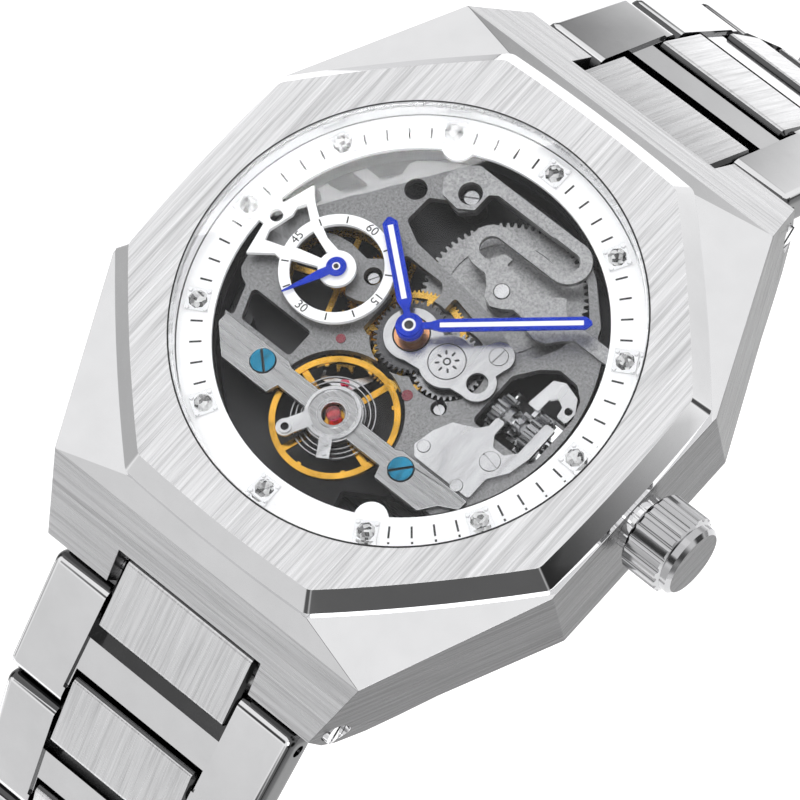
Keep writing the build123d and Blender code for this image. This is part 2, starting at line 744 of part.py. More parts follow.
save(cover_plate, "cover_plate")

SETTING_SCREW = (10.85, -3.8)
SETTING_PINS = ((6.4, -5.9), (10.2, -6.7))
with BuildPart() as setting_plate:
    with BuildSketch(Plane.XY.offset(8.92)):
        blob(
            [
                (7.4, -2.95),
                (8.5, -2.4),
                (9.0, -1.8),
                (9.0, -0.9),
                (9.75, -0.9),
                (9.75, -2.1),
                (10.3, -2.85),
                (11.3, -2.85),
                (12.0, -2.1),
                (12.05, 0.9),
                (12.9, 0.9),
                (12.9, -1.9),
                (12.5, -3.6),
                (11.5, -5.0),
                (11.5, -6.9),
                (6.4, -6.9),
                (5.75, -6.2),
                (6.1, -4.6),
                (6.8, -3.2),
            ],
            0.24,
        )
        with Locations(SETTING_SCREW):
            Circle(0.78, mode=Mode.SUBTRACT)
        with Locations(*SETTING_PINS):
            Circle(0.5, mode=Mode.SUBTRACT)
    extrude(amount=0.35)
save(setting_plate, "setting_plate")

# arms round the balance pivot, as offsets from it
REGULATOR_ARM = ((-1.55, -1.05), (-2.55, -2.85), (-1.4, -3.3), (-0.45, -1.6))
STUD_ARM = ((0.35, -1.8), (1.35, -3.35), (2.15, -2.85), (1.2, -1.35))
with BuildPart() as balance_bridge:
    with BuildSketch(Plane.XY.offset(8.92)):
        with BuildLine() as bar:
            Polyline(
                (-11.6, -7.1), (-5.5, -7.1), (-5.0, -7.35), (5.0, -7.35), (5.5, -7.1),
                (11.6, -7.1), (11.6, -8.0), (10.2, -8.7), (9.3, -9.9), (5.2, -9.9),
                (4.9, -9.0), (-4.9, -9.0), (-5.2, -9.9), (-9.6, -9.9), (-11.6, -8.0),
                (-11.6, -7.1),
            )
        make_face(bar.edges())
        with Locations(BALANCE):
            Circle(2.2)
        with Locations(*BRIDGE_SCREWS):
            Circle(0.95, mode=Mode.SUBTRACT)
        with Locations(BALANCE):
            Circle(0.85, mode=Mode.SUBTRACT)
    extrude(amount=0.38)
    # turned steps round the shock setting
    with BuildSketch(Plane.XY.offset(9.3)):
        with Locations(BALANCE):
            Circle(1.75)
            Circle(1.15, mode=Mode.SUBTRACT)
    extrude(amount=0.12)
save(balance_bridge, "balance_bridge")

with BuildPart() as regulator:
    # regulator arm and stud arm on the bridge's collar
    reg_end = (BALANCE[0] - 1.95, BALANCE[1] - 3.0)
    stud_end = (BALANCE[0] + 1.6, BALANCE[1] - 2.8)
    with BuildSketch(Plane.XY.offset(9.32)):
        with Locations(BALANCE):
            Circle(2.05)
            Circle(1.82, mode=Mode.SUBTRACT)
        plain([(BALANCE[0] + x, BALANCE[1] + y) for x, y in REGULATOR_ARM])
        plain([(BALANCE[0] + x, BALANCE[1] + y) for x, y in STUD_ARM])
        with Locations(reg_end):
            Circle(0.68)
            Circle(0.3, mode=Mode.SUBTRACT)
    extrude(amount=0.2)
    disc((stud_end[0] - 0.35, stud_end[1] + 0.65), 0.16, 9.52, 9.62)
    disc(stud_end, 0.16, 9.52, 9.62)
    with BuildSketch(Plane.XY.offset(9.52)):
        with Locations(reg_end):
            Circle(0.5)
            Circle(0.3, mode=Mode.SUBTRACT)
    extrude(amount=0.12)
save(regulator, "regulator")


def slotted_screw(centre, radius, low, high, slot, angle):
    """A cheese-head screw in the part in progress."""
    disc(centre, radius, low, high)
    with BuildSketch(Plane.XY.offset(high - 0.16)) as cut:
        with Locations(centre):
            Rectangle(2 * radius + 0.2, slot, rotation=angle)
    extrude(cut.sketch, amount=0.3, mode=Mode.SUBTRACT)


with BuildPart() as bridge_screws:
    for centre, angle in zip(BRIDGE_SCREWS, (-42, 48)):
        slotted_screw(centre, 0.9, 8.95, 9.4, 0.2, angle)
save(bridge_screws, "bridge_screws")

with BuildPart() as plate_screws:
    slotted_screw((6.05, 2.6), 0.68, 8.95, 9.42, 0.14, 85)
    slotted_screw(SETTING_SCREW, 0.74, 8.95, 9.32, 0.14, -12)
    slotted_screw((-4.0, 10.9), 0.55, 8.22, 8.6, 0.13, 30)
    slotted_screw((5.15, -2.95), 0.4, 8.22, 8.6, 0.11, -30)
    slotted_screw(SMALL_SCREW, 0.42, 8.22, 8.5, 0.11, 60)
    for centre in SETTING_PINS:
        disc(centre, 0.46, 8.95, 9.32)
    disc(BARREL, 0.55, 8.95, 9.42)
save(plate_screws, "plate_screws")

with BuildPart() as jewels:
    for centre, radius, low, high in (
        ((-3.90, -3.35), 0.36, FRONT_TOP + 0.005, 8.98),
        ((2.75, -3.65), 0.42, FRONT_TOP + 0.005, 8.98),
        (FORK, 0.34, 7.75, 7.95),
        (BALANCE, 0.55, 9.2, 9.45),
    ):
        disc(centre, radius, low, high)
    chamfer(jewels.edges().filter_by(GeomType.CIRCLE).group_by(Axis.Z)[-1], 0.08)
save(jewels, "jewels")

with BuildPart() as rear_bridge:
    with BuildSketch(Plane.XY.offset(3.7)):
        Circle(10.6)
        with PolarLocations(11.4, 3, start_angle=90):
            Circle(2.0)
        with PolarLocations(6.2, 3, start_angle=30):
            SlotCenterToCenter(2.6, 3.0, rotation=90, mode=Mode.SUBTRACT)
    extrude(amount=0.9)
    # pillars to the mainplate and the rotor axle
    with BuildSketch(Plane.XY.offset(4.6)):
        with PolarLocations(11.4, 3, start_angle=90):
            Circle(1.4)
    extrude(amount=MAIN_LOW - 4.6)
    disc(CENTRE, 0.8, 1.95, 3.7)
    disc(CENTRE, 2.4, 3.05, 3.7)
save(rear_bridge, "rear_bridge")

SPIRAL_TURNS, SPIRAL_IN, SPIRAL_OUT = 7, 0.75, 3.3
with BuildPart() as hairspring:
    with BuildSketch(Plane.XY.offset(8.62)):
        inner, outer = [], []
        steps = SPIRAL_TURNS * 12
        for i in range(steps + 1):
            radius = SPIRAL_IN + (SPIRAL_OUT - SPIRAL_IN) * i / steps
            angle = 30.0 * i
            inner.append(polar(radius - 0.045, angle, BALANCE))
            outer.append(polar(radius + 0.045, angle, BALANCE))
        with BuildLine() as coil:
            Spline(*inner)
            Spline(*outer)
            Line(inner[0], outer[0])
            Line(inner[-1], outer[-1])
        make_face(coil.edges())
    extrude(amount=0.15)
save(hairspring, "hairspring")


# ==== movement, moving pieces ====
with BuildPart() as rotor:
    with BuildSketch(Plane.XY.offset(2.2)):
        with BuildLine() as sector:
            CenterArc((0, 0), 14.3, 180, 180)
            Line((-14.3, 0), (14.3, 0))
        make_face(sector.edges())
        Circle(2.9)
        with PolarLocations(7.6, 3, start_angle=225, angular_range=90):
            SlotCenterToCenter(3.4, 2.6, rotation=90, mode=Mode.SUBTRACT)
        Circle(0.86, mode=Mode.SUBTRACT)
    extrude(amount=0.5)
    with BuildSketch(Plane.XY.offset(1.9)):
        with BuildLine() as weight:
            CenterArc((0, 0), 14.3, 183, 174)
            CenterArc((0, 0), 11.9, 183, 174)
            Line(polar(14.3, 183), polar(11.9, 183))
            Line(polar(14.3, 357), polar(11.9, 357))
        make_face(weight.edges())
    extrude(amount=1.5)
save(rotor, "rotor")

with BuildPart() as barrel:
    disc(BARREL, 5.5, 6.55, 7.3)
    with BuildSketch(Plane.XY.offset(7.3)):
        toothed(BARREL_TEETH, BARREL_MODULE, BARREL, BARREL_PHASE)
    extrude(amount=0.4)
    with BuildSketch(Plane.XY.offset(7.6)):
        with Locations(BARREL):
            Circle(4.45)
            Circle(4.2, mode=Mode.SUBTRACT)
    extrude(amount=0.15, mode=Mode.SUBTRACT)
    disc(BARREL, 1.3, 7.7, 8.4)
    disc(BARREL, 0.7, 8.4, 8.86)
    disc(BARREL, PIVOT_R, 5.6, 6.55)
save(barrel, "barrel")

CENTRE_LOW, CENTRE_HIGH = 7.9, 8.1
with BuildPart() as centre_wheel:
    train_wheel(CENTRE, CENTRE_TEETH, CENTRE_MODULE, CENTRE_PHASE, CENTRE_LOW, CENTRE_HIGH, 4)
    pinion(CENTRE, CENTRE_PINION, BARREL_MODULE, CENTRE_PHASE, 7.25, 7.9)
    pinion(CENTRE, MOTION_A, CANNON_MODULE, CENTRE_PHASE, 8.3, 8.6)
    disc(CENTRE, 0.42, 6.1, 11.0)
    disc(CENTRE, PIVOT_R, 5.6, 6.2)
save(centre_wheel, "centre_wheel")

with BuildPart() as minute_wheel:
    with BuildSketch(Plane.XY.offset(8.34)):
        toothed(MOTION_B, CANNON_MODULE, MINUTE, MINUTE_PHASE)
    extrude(amount=0.2)
    pinion(MINUTE, MOTION_C, HOUR_MODULE, MINUTE_PHASE, 8.54, 8.98)
    disc(MINUTE, PIVOT_R, 8.12, 8.34)
save(minute_wheel, "minute_wheel")

with BuildPart() as hour_wheel:
    with BuildSketch(Plane.XY.offset(8.7)):
        toothed(MOTION_D, HOUR_MODULE, CENTRE, HOUR_PHASE)
        Circle(0.5, mode=Mode.SUBTRACT)
    extrude(amount=0.22)
    # copper-coloured collar and the pipe that carries the hour hand
    with BuildSketch(Plane.XY.offset(8.92)):
        Circle(1.3)
        Circle(0.5, mode=Mode.SUBTRACT)
    extrude(amount=0.42)
    with BuildSketch(Plane.XY.offset(9.34)):
        Circle(0.72)
        Circle(0.5, mode=Mode.SUBTRACT)
    extrude(amount=1.0)
save(hour_wheel, "hour_wheel")

with BuildPart() as third_wheel:
    train_wheel(THIRD, THIRD_TEETH, THIRD_MODULE, THIRD_PHASE, 6.12, 6.32, 4)
    pinion(THIRD, THIRD_PINION, CENTRE_MODULE, THIRD_PHASE, 7.84, 8.15)
    disc(THIRD, 0.25, 6.1, 7.84)
    disc(THIRD, PIVOT_R, 5.6, 6.12)
save(third_wheel, "third_wheel")

with BuildPart() as fourth_wheel:
    train_wheel(FOURTH, FOURTH_TEETH, FOURTH_MODULE, FOURTH_PHASE, 7.4, 7.6, 4)
    pinion(FOURTH, FOURTH_PINION, THIRD_MODULE, FOURTH_PHASE, 6.08, 6.4)
    disc(FOURTH, 0.25, 6.08, 10.2)
    disc(FOURTH, PIVOT_R, 5.6, 6.1)
save(fourth_wheel, "fourth_wheel")

ESCAPE_R = 2.55
with BuildPart() as escape_wheel:
    with BuildSketch(Plane.XY.offset(7.0)):
        points = []
        for i in range(ESCAPE_TEETH):
            base = 360.0 * i / ESCAPE_TEETH
            points.append(polar(2.05, base - 7, ESCAPE))
            points.append(polar(ESCAPE_R, base + 1, ESCAPE))
            points.append(polar(ESCAPE_R - 0.12, base + 4, ESCAPE))
            points.append(polar(2.05, base + 3, ESCAPE))
        plain(points)
        with Locations(ESCAPE):
            Circle(1.75, mode=Mode.SUBTRACT)
            Circle(0.6)
        spokes(ESCAPE, 0.5, 1.75, 4, 0.26, 45)
    extrude(amount=0.15)
    pinion(ESCAPE, ESCAPE_PINION, FOURTH_MODULE, ESCAPE_PHASE, 7.15, 7.66)
    disc(ESCAPE, 0.2, 6.1, 8.1)
    disc(ESCAPE, PIVOT_R, 5.6, 6.1)
save(escape_wheel, "escape_wheel")

# the fork's frame: one unit vector towards the escape wheel, one across it
FORK_ALONG = Vector(ESCAPE[0] - FORK[0], ESCAPE[1] - FORK[1], 0).normalized()
with BuildPart() as pallet_fork:
    fork_plane = Plane(origin=(FORK[0], FORK[1], 6.95), x_dir=FORK_ALONG, z_dir=(0, 0, 1))
    with BuildSketch(fork_plane):
        # arms reach either side of the wheel, lever points away from it
        plain(
            [
                (-0.25, 0.35), (0.55, 1.9), (0.95, 1.9), (0.55, 0.2), (0.55, -0.2), (0.95, -1.9),
                (0.55, -1.9), (-0.25, -0.35),
            ],
        )
        plain(
            [
                (0.0, 0.18), (-2.2, 0.14), (-2.55, 0.32), (-2.55, 0.14), (-2.25, 0),
                (-2.55, -0.14), (-2.55, -0.32), (-2.2, -0.14), (0.0, -0.18),
            ],
        )
    extrude(amount=0.2)
    with BuildSketch(fork_plane):
        # pallet stones
        plain([(0.6, 1.62), (1.22, 1.55), (1.22, 1.75), (0.6, 1.85)])
        plain([(0.6, -1.62), (1.22, -1.55), (1.22, -1.75), (0.6, -1.85)])
    extrude(amount=0.24)
    disc(FORK, 0.2, 6.1, 7.7)
    disc(FORK, PIVOT_R, 5.6, 6.1)
save(pallet_fork, "pallet_fork")

with BuildPart() as balance_wheel:
    with BuildSketch(Plane.XY.offset(8.2)):
        with Locations(BALANCE):
            Circle(BALANCE_R)
            Circle(BALANCE_R - 0.46, mode=Mode.SUBTRACT)
    extrude(amount=0.4)
    with BuildSketch(Plane.XY.offset(8.3)):
        spokes(BALANCE, 0.5, BALANCE_R - 0.4, 4, 0.5, 72)
        with Locations(BALANCE):
            Circle(0.68)
    extrude(amount=0.2)
    # timing screws in the rim
    with BuildSketch(Plane.XY.offset(8.3)):
        with Locations(BALANCE):
            with PolarLocations(BALANCE_R - 0.5, 8, start_angle=49.5):
                Rectangle(0.24, 0.3)
    extrude(amount=0.2)
    disc(BALANCE, 0.22, 6.1, 9.15)
    disc(BALANCE, 0.6, 7.4, 7.6)
    disc(BALANCE, PIVOT_R, 5.6, 6.1)
save(balance_wheel, "balance_wheel")

YOKE_PIVOT = (12.45, 2.75)
with BuildPart() as yoke:
    with BuildSketch(Plane.XY.offset(8.3)):
        blob(
            [
                (9.75, 1.4), (10.05, 3.9), (10.9, 4.3), (12.3, 3.9), (12.95, 2.9), (12.9, 1.9),
                (12.05, 1.9), (11.9, 2.7), (11.2, 3.05), (10.8, 2.6), (10.75, 1.4),
            ],
            0.18,
        )
        with Locations(YOKE_PIVOT):
            Circle(0.3, mode=Mode.SUBTRACT)
    extrude(amount=0.3)
    # finger in the groove of the clutch
    with BuildSketch(Plane.XY.offset(7.6)):
        plain([(10.45, 1.6), (10.45, 0.95), (10.78, 0.95), (10.78, 1.6)])
    extrude(amount=0.75)
save(yoke, "yoke")


# ==== hands ====
def hand(centre, degrees, length, low, thickness, boss, bore, neck, body_start, width):
    """A flat baton hand with a narrow neck, in the part in progress."""
    plane = Plane(origin=(centre[0], centre[1], low), x_dir=(*clock(1, degrees), 0), z_dir=(0, 0, 1))
    with BuildSketch(plane) as face:
        plain([(0, neck / 2), (body_start, neck / 2), (body_start, -neck / 2), (0, -neck / 2)])
        blob(
            [
                (body_start - 0.4, neck / 2),
                (body_start + 0.35, width / 2),
                (length - 0.45, width / 2),
                (length, 0.12),
                (length, -0.12),
                (length - 0.45, -width / 2),
                (body_start + 0.35, -width / 2),
                (body_start - 0.4, -neck / 2),
            ],
            0.1,
        )
        Circle(boss)
        Circle(bore, mode=Mode.SUBTRACT)
    extrude(face.sketch, amount=thickness)


with BuildPart() as hour_hand:
    hand(CENTRE, HOUR_ANGLE, HOUR_LENGTH, 10.36, 0.2, 1.0, 0.46, 0.5, 1.9, 1.1)
save(hour_hand, "hour_hand")

with BuildPart() as minute_hand:
    hand(CENTRE, MINUTE_ANGLE, MINUTE_LENGTH, 10.72, 0.2, 1.0, 0.43, 0.5, 1.9, 0.95)
    # raised rim of the boss
    with BuildSketch(Plane.XY.offset(10.92)):
        Circle(0.86)
        Circle(0.43, mode=Mode.SUBTRACT)
    extrude(amount=0.14)
save(minute_hand, "minute_hand")

with BuildPart() as seconds_hand:
    seconds_plane = Plane(origin=(*FOURTH, 10.22), x_dir=(*clock(1, SECONDS_ANGLE), 0), z_dir=(0, 0, 1))
    with BuildSketch(seconds_plane):
        plain(
            [
                (0, 0.3), (1.3, 0.34), (SECONDS_LENGTH, 0.06), (SECONDS_LENGTH, -0.06),
                (1.3, -0.34), (0, -0.3),
            ],
        )
        Circle(0.75)
        Circle(0.26, mode=Mode.SUBTRACT)
    extrude(amount=0.1)
save(seconds_hand, "seconds_hand")


# ==== bracelet ====
def link_profile(length, eased):
    """Side view of a link: eased edges away from the wrist, round ends towards it."""
    half = LINK_T / 2
    with BuildLine() as outline:
        FilletPolyline(
            (-LINK_END, half),
            (length + LINK_END, half),
            (length + LINK_END, -half),
            (-LINK_END, -half),
            radius=[eased, eased, 1.35, 1.35],
            close=True,
        )
    make_face(outline.edges())


def cross_hole(plane, at, radius, half_length, mode=Mode.SUBTRACT):
    """A pin or a pin hole across a link, in the part in progress."""
    with BuildSketch(plane) as face:
        with Locations((at, 0)):
            Circle(radius)
    extrude(face.sketch, amount=half_length, both=True, mode=mode)


def centre_link(side, row):
    pivot, along = chain(side)[2 * row]
    plane = link_plane(side, pivot, along)
    with BuildPart() as link:
        with BuildSketch(plane):
            link_profile(SHORT, 0.5)
        extrude(amount=CENTRE_WIDTHS[row] / 2, both=True)
        outer_face = link.faces().sort_by(Axis(origin=(0, 0, 0), direction=tuple(plane.y_dir)))[-1]
        chamfer(outer_face.edges().filter_by(lambda e: abs(e.tangent_at(0.5).X) < 0.1), 0.3)
        cross_hole(plane, 0, PIN_HOLE_R, 20)
        cross_hole(plane, SHORT, PIN_HOLE_R, 20)
    return link


def outer_link(side, row, last):
    pivot, along = chain(side)[2 * row + 1]
    plane = link_plane(side, pivot, along)
    out = tuple(plane.y_dir)
    plan = Plane(origin=plane.origin, x_dir=plane.x_dir, z_dir=out)
    wide, narrow = OUTER_WIDTHS[row] / 2, (OUTER_WIDTHS[row] + OUTER_WIDTHS[row + 1]) / 4
    with BuildPart() as link:
        with BuildSketch(plane):
            link_profile(LONG, 0.9)
        extrude(amount=wide, both=True)
        with BuildSketch(plan):
            plain(
                [
                    (-LINK_END, wide), (LONG + LINK_END, narrow), (LONG + LINK_END, -narrow),
                    (-LINK_END, -wide),
                ],
            )
        extrude(amount=LINK_T, both=True, mode=Mode.INTERSECT)
        outer_face = link.faces().sort_by(Axis(origin=(0, 0, 0), direction=out))[-1]
        fillet(outer_face.edges().filter_by(lambda e: abs(e.tangent_at(0.5).X) < 0.5), 0.7)
        # slots for the neighbouring centre links, and the sunk bar between them
        slots = ((-3, 2.8, CENTRE_WIDTHS[row]), (LONG - 1.8, LONG + 3, CENTRE_WIDTHS[row + 1]))
        for start, end, width in slots:
            with BuildSketch(plan):
                half = width / 2 + 0.12
                plain([(start, half), (end, half), (end, -half), (start, -half)])
            extrude(amount=LINK_T, both=True, mode=Mode.SUBTRACT)
        with BuildSketch(plan.offset(LINK_T / 2 - 0.3)):
            half = CENTRE_WIDTHS[row] / 2 + 0.12
            plain([(0, half), (LONG, half), (LONG, -half), (0, -half)])
        extrude(amount=1, mode=Mode.SUBTRACT)
        cross_hole(plane, 0, PIN_R + 0.02, 20)
        cross_hole(plane, LONG, PIN_R + 0.02, 20)
        cross_hole(plane, 0, PIN_R, wide - 0.7, Mode.ADD)
        if not last:
            cross_hole(plane, LONG, PIN_R, narrow - 0.7, Mode.ADD)
    return link


for side, half_name in ((1, "upper"), (-1, "lower")):
    for row in range(4):
        # the lower half's last pair of lugs is where the closed loop is opened
        opened = side == -1 and row == 3
        save(centre_link(side, row), half_name + "_centre_link_" + str(row + 1))
        save(outer_link(side, row, opened), half_name + "_outer_link_" + str(row + 1))


# ==== clasp ====
def on_arc(radius, degrees):
    """A (y, z) point on the clasp's arcs; the angle is from its middle towards its fixed end."""
    angle, end = math.radians(degrees), math.radians(CLASP_HALF)
    swing = math.radians(CLASP_SWING)
    y = radius * math.sin(angle) - CLASP_R * math.sin(end)
    z = CLASP_R * math.cos(end) - radius * math.cos(angle)
    pivot = last_pivot(1)
    return (
        pivot[0] + y * math.cos(swing) - z * math.sin(swing),
        pivot[1] + y * math.sin(swing) + z * math.cos(swing),
    )


def band(low_r, high_r, start, end, inner_x, outer_x, mode=Mode.ADD):
    """A curved strip of the clasp between two half widths, in the part in progress."""
    middle = (start + end) / 2
    with BuildSketch(Plane.YZ.offset(inner_x)) as face:
        with BuildLine() as outline:
            ThreePointArc(on_arc(low_r, start), on_arc(low_r, middle), on_arc(low_r, end))
            Line(on_arc(low_r, end), on_arc(high_r, end))
            ThreePointArc(on_arc(high_r, end), on_arc(high_r, middle), on_arc(high_r, start))
            Line(on_arc(high_r, start), on_arc(low_r, start))
        make_face(outline.edges())
    extrude(face.sketch, amount=outer_x - inner_x, mode=mode)


def rod(radius, at, inner_x, outer_x, mode=Mode.ADD):
    """A round boss or hole along X, in the part in progress."""
    with BuildSketch(Plane.YZ.offset(inner_x)) as face:
        with Locations(at):
            Circle(radius)
    extrude(face.sketch, amount=outer_x - inner_x, mode=mode)


COVER_HINGE = on_arc(55.2, -15.0)
BLADE_HINGE = on_arc(54.6, 13.0)
UPPER_END = on_arc(CLASP_R, CLASP_HALF)
LOWER_END = on_arc(CLASP_R, -CLASP_HALF)
TONGUE_HALF = CENTRE_WIDTHS[4] / 2 - 0.1

with BuildPart() as clasp_cover:
    band(56.0, 57.0, -15.2, 16.4, -COVER_HALF, COVER_HALF)
    band(53.9, 56.2, -15.8, 15.4, -COVER_HALF, -COVER_HALF + 0.9)
    band(53.9, 56.2, -15.8, 15.4, COVER_HALF - 0.9, COVER_HALF)
    band(54.6, 57.0, 15.2, 20.2, -TONGUE_HALF, TONGUE_HALF)
    rod(1.45, UPPER_END, -TONGUE_HALF, TONGUE_HALF)
    rod(PIN_HOLE_R, UPPER_END, -TONGUE_HALF, TONGUE_HALF, Mode.SUBTRACT)
    rod(PIN_R, COVER_HINGE, -COVER_HALF, COVER_HALF, Mode.SUBTRACT)
save(clasp_cover, "clasp_cover")

with BuildPart() as clasp_outer_blade:
    band(54.95, 55.75, -14.6, 11.9, -6.5, 6.5)
    band(54.6, 55.9, -10.5, 8.5, -3.6, 3.6, Mode.SUBTRACT)
    band(54.95, 55.35, 11.7, 13.0, -2.9, 2.9)
    rod(0.7, COVER_HINGE, -8.2, 8.2)
    rod(0.45, COVER_HINGE, -9.1, 9.1)
    rod(0.75, BLADE_HINGE, -2.9, 2.9)
    rod(0.42, BLADE_HINGE, -6.4, 6.4)
save(clasp_outer_blade, "clasp_outer_blade")

with BuildPart() as clasp_inner_blade:
    band(53.6, 54.4, -19.6, 13.0, -BLADE_HALF, BLADE_HALF)
    band(53.4, 54.6, -10.5, 7.5, -3.2, 3.2, Mode.SUBTRACT)
    rod(1.45, LOWER_END, -TONGUE_HALF, TONGUE_HALF)
    rod(0.75, BLADE_HINGE, -BLADE_HALF - 0.6, BLADE_HALF + 0.6)
    band(53.3, 56.0, 11.8, 14.4, -3.05, 3.05, Mode.SUBTRACT)
    rod(0.46, BLADE_HINGE, -7, 7, Mode.SUBTRACT)
    rod(PIN_HOLE_R, LOWER_END, -TONGUE_HALF, TONGUE_HALF, Mode.SUBTRACT)
    rod(PIN_R, LOWER_END, -TONGUE_HALF, TONGUE_HALF)
save(clasp_inner_blade, "clasp_inner_blade")
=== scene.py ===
import bpy
import bmesh
import math
from mathutils import Matrix, Vector


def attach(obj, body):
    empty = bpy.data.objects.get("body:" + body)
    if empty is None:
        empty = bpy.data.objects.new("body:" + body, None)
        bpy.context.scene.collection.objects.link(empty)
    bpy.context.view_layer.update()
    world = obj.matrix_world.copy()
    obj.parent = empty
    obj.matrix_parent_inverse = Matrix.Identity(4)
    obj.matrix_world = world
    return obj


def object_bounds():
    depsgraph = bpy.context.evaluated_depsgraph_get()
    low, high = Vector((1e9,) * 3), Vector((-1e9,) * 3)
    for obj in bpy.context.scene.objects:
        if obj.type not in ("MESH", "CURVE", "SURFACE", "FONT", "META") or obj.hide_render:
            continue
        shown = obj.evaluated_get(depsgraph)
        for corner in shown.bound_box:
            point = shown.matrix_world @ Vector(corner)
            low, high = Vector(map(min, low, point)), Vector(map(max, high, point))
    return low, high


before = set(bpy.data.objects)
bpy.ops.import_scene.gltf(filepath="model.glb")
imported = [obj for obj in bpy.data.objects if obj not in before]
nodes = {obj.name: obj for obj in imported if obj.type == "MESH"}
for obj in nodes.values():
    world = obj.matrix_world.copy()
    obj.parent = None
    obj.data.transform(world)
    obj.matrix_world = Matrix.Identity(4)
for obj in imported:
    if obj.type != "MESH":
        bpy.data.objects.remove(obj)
cad_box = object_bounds()
MM = 0.001  # lengths are in millimetres unless a comment says metres, and Blender's unit is the metre

# ---------------------------------------------------------------- camera
right = Vector((0.7409795, 0.66129348, -0.11679178))
up = Vector((-0.5799418, 0.71785068, 0.38517258))
back = Vector((0.33855117, -0.21767255, 0.91542436))
SIDEWAYS, UPWARD, DISTANCE = -0.74878, -4.96677, 522.79  # from the middle of the dial, at DIAL_VIEW_Z
DIAL_VIEW_Z = 10.2
FOCAL_PIXELS, PICTURE_PIXELS, SENSOR = 7333.06, 800, 36
place = SIDEWAYS * right + UPWARD * up + DISTANCE * back + Vector((0, 0, DIAL_VIEW_Z))
camera_data = bpy.data.cameras.new("camera")
camera = bpy.data.objects.new("camera", camera_data)
bpy.context.scene.collection.objects.link(camera)
camera.matrix_world = Matrix.Translation(place * MM) @ Matrix((right, up, back)).transposed().to_4x4()
camera_data.sensor_width = SENSOR
camera_data.lens = FOCAL_PIXELS / PICTURE_PIXELS * SENSOR
camera_data.clip_start = 0.01  # metres
camera_data.clip_end = 20
bpy.context.scene.camera = camera
view = bpy.context.scene.view_settings
view.view_transform = "Standard"
view.look = "None"


# ---------------------------------------------------------------- material tools
def material(name, metallic=0):
    """A new node material: returns it, its tree and its Principled shader."""
    made = bpy.data.materials.new(name)
    made.use_nodes = True
    shader = made.node_tree.nodes["Principled BSDF"]
    shader.inputs["Metallic"].default_value = metallic
    return made, made.node_tree, shader


def node(tree, kind, **settings):
    """A new shader node with the settings given."""
    new = tree.nodes.new(kind)
    for key, value in settings.items():
        setattr(new, key, value)
    return new


def coords(tree, scale=(1, 1, 1), turn=(0, 0, 0)):
    """Object coordinates in millimetres, stretched by scale."""
    source = node(tree, "ShaderNodeTexCoord")
    mapping = node(tree, "ShaderNodeMapping")
    mapping.inputs["Scale"].default_value = [s / MM for s in scale]
    mapping.inputs["Rotation"].default_value = turn
    tree.links.new(source.outputs["Object"], mapping.inputs["Vector"])
    return mapping.outputs["Vector"]


def noise(tree, vector, scale, detail, rough=0.6):
    """Cloudy values from 0 to 1."""
    made = node(tree, "ShaderNodeTexNoise")
    made.inputs["Scale"].default_value = scale
    made.inputs["Detail"].default_value = detail
    made.inputs["Roughness"].default_value = rough
    tree.links.new(vector, made.inputs["Vector"])
    return made.outputs["Fac"]


def streaks(tree, stretch):
    """Coarse and fine brushing, which runs along the axis whose stretch is smallest."""
    coarse = noise(tree, coords(tree, stretch), 1.0, 5, 0.7)
    fine = noise(tree, coords(tree, tuple(2.7 * s for s in stretch)), 1.0, 3)
    return coarse, fine


def ramp(tree, value, stops):
    """A colour ramp of (position, grey or colour) stops."""
    made = node(tree, "ShaderNodeValToRGB")
    ends = made.color_ramp.elements
    while len(ends) < len(stops):
        ends.new(0.5)
    for end, (position, colour) in zip(ends, stops):
        end.position = position
        end.color = (*colour, 1) if isinstance(colour, tuple) else (colour, colour, colour, 1)
    tree.links.new(value, made.inputs["Fac"])
    return made.outputs["Color"]


def bump(tree, shader, height, strength, distance):
    """Relief on a shader, from a height between 0 and 1."""
    made = node(tree, "ShaderNodeBump")
    made.inputs["Strength"].default_value = strength
    made.inputs["Distance"].default_value = distance * MM
    tree.links.new(height, made.inputs["Height"])
    tree.links.new(made.outputs["Normal"], shader.inputs["Normal"])


def mix(tree, factor, a, b):
    """Input a where the factor is 0, and b where it is 1."""
    made = node(tree, "ShaderNodeMix", data_type="RGBA")
    sockets = [socket for socket in made.inputs if socket.enabled]
    for value, socket in zip((factor, a, b), sockets):
        tree.links.new(value, socket)
    return [socket for socket in made.outputs if socket.enabled][0]


def facing(tree, axis, low, high):
    """1 where the surface's own normal points along axis, 0 where it does not."""
    source = node(tree, "ShaderNodeTexCoord")
    dot = node(tree, "ShaderNodeVectorMath", operation="DOT_PRODUCT")
    dot.inputs[1].default_value = axis
    tree.links.new(source.outputs["Normal"], dot.inputs[0])
    area = node(tree, "ShaderNodeMapRange")
    area.inputs["From Min"].default_value = low
    area.inputs["From Max"].default_value = high
    tree.links.new(dot.outputs["Value"], area.inputs["Value"])
    return area.outputs["Result"]


def times(shade, factor):
    """A colour made darker or lighter."""
    return tuple(min(1, factor * c) for c in shade)


def polished(name, shade=(0.82, 0.82, 0.83), rough=0.07):
    """Polished steel with faint hairlines and a trace of handling haze."""
    made, tree, shader = material(name, 1)
    haze = noise(tree, coords(tree), 0.35, 4)
    tree.links.new(ramp(tree, haze, [(0.3, times(shade, 0.95)), (0.7, shade)]), shader.inputs["Base Color"])
    tree.links.new(ramp(tree, haze, [(0.25, rough * 0.7), (0.75, rough * 1.5)]), shader.inputs["Roughness"])
    hair = noise(tree, coords(tree, (8, 0.6, 8), (0.3, 0.2, 0.5)), 1.0, 2)
    bump(tree, shader, hair, 0.05, 0.004)
    return made


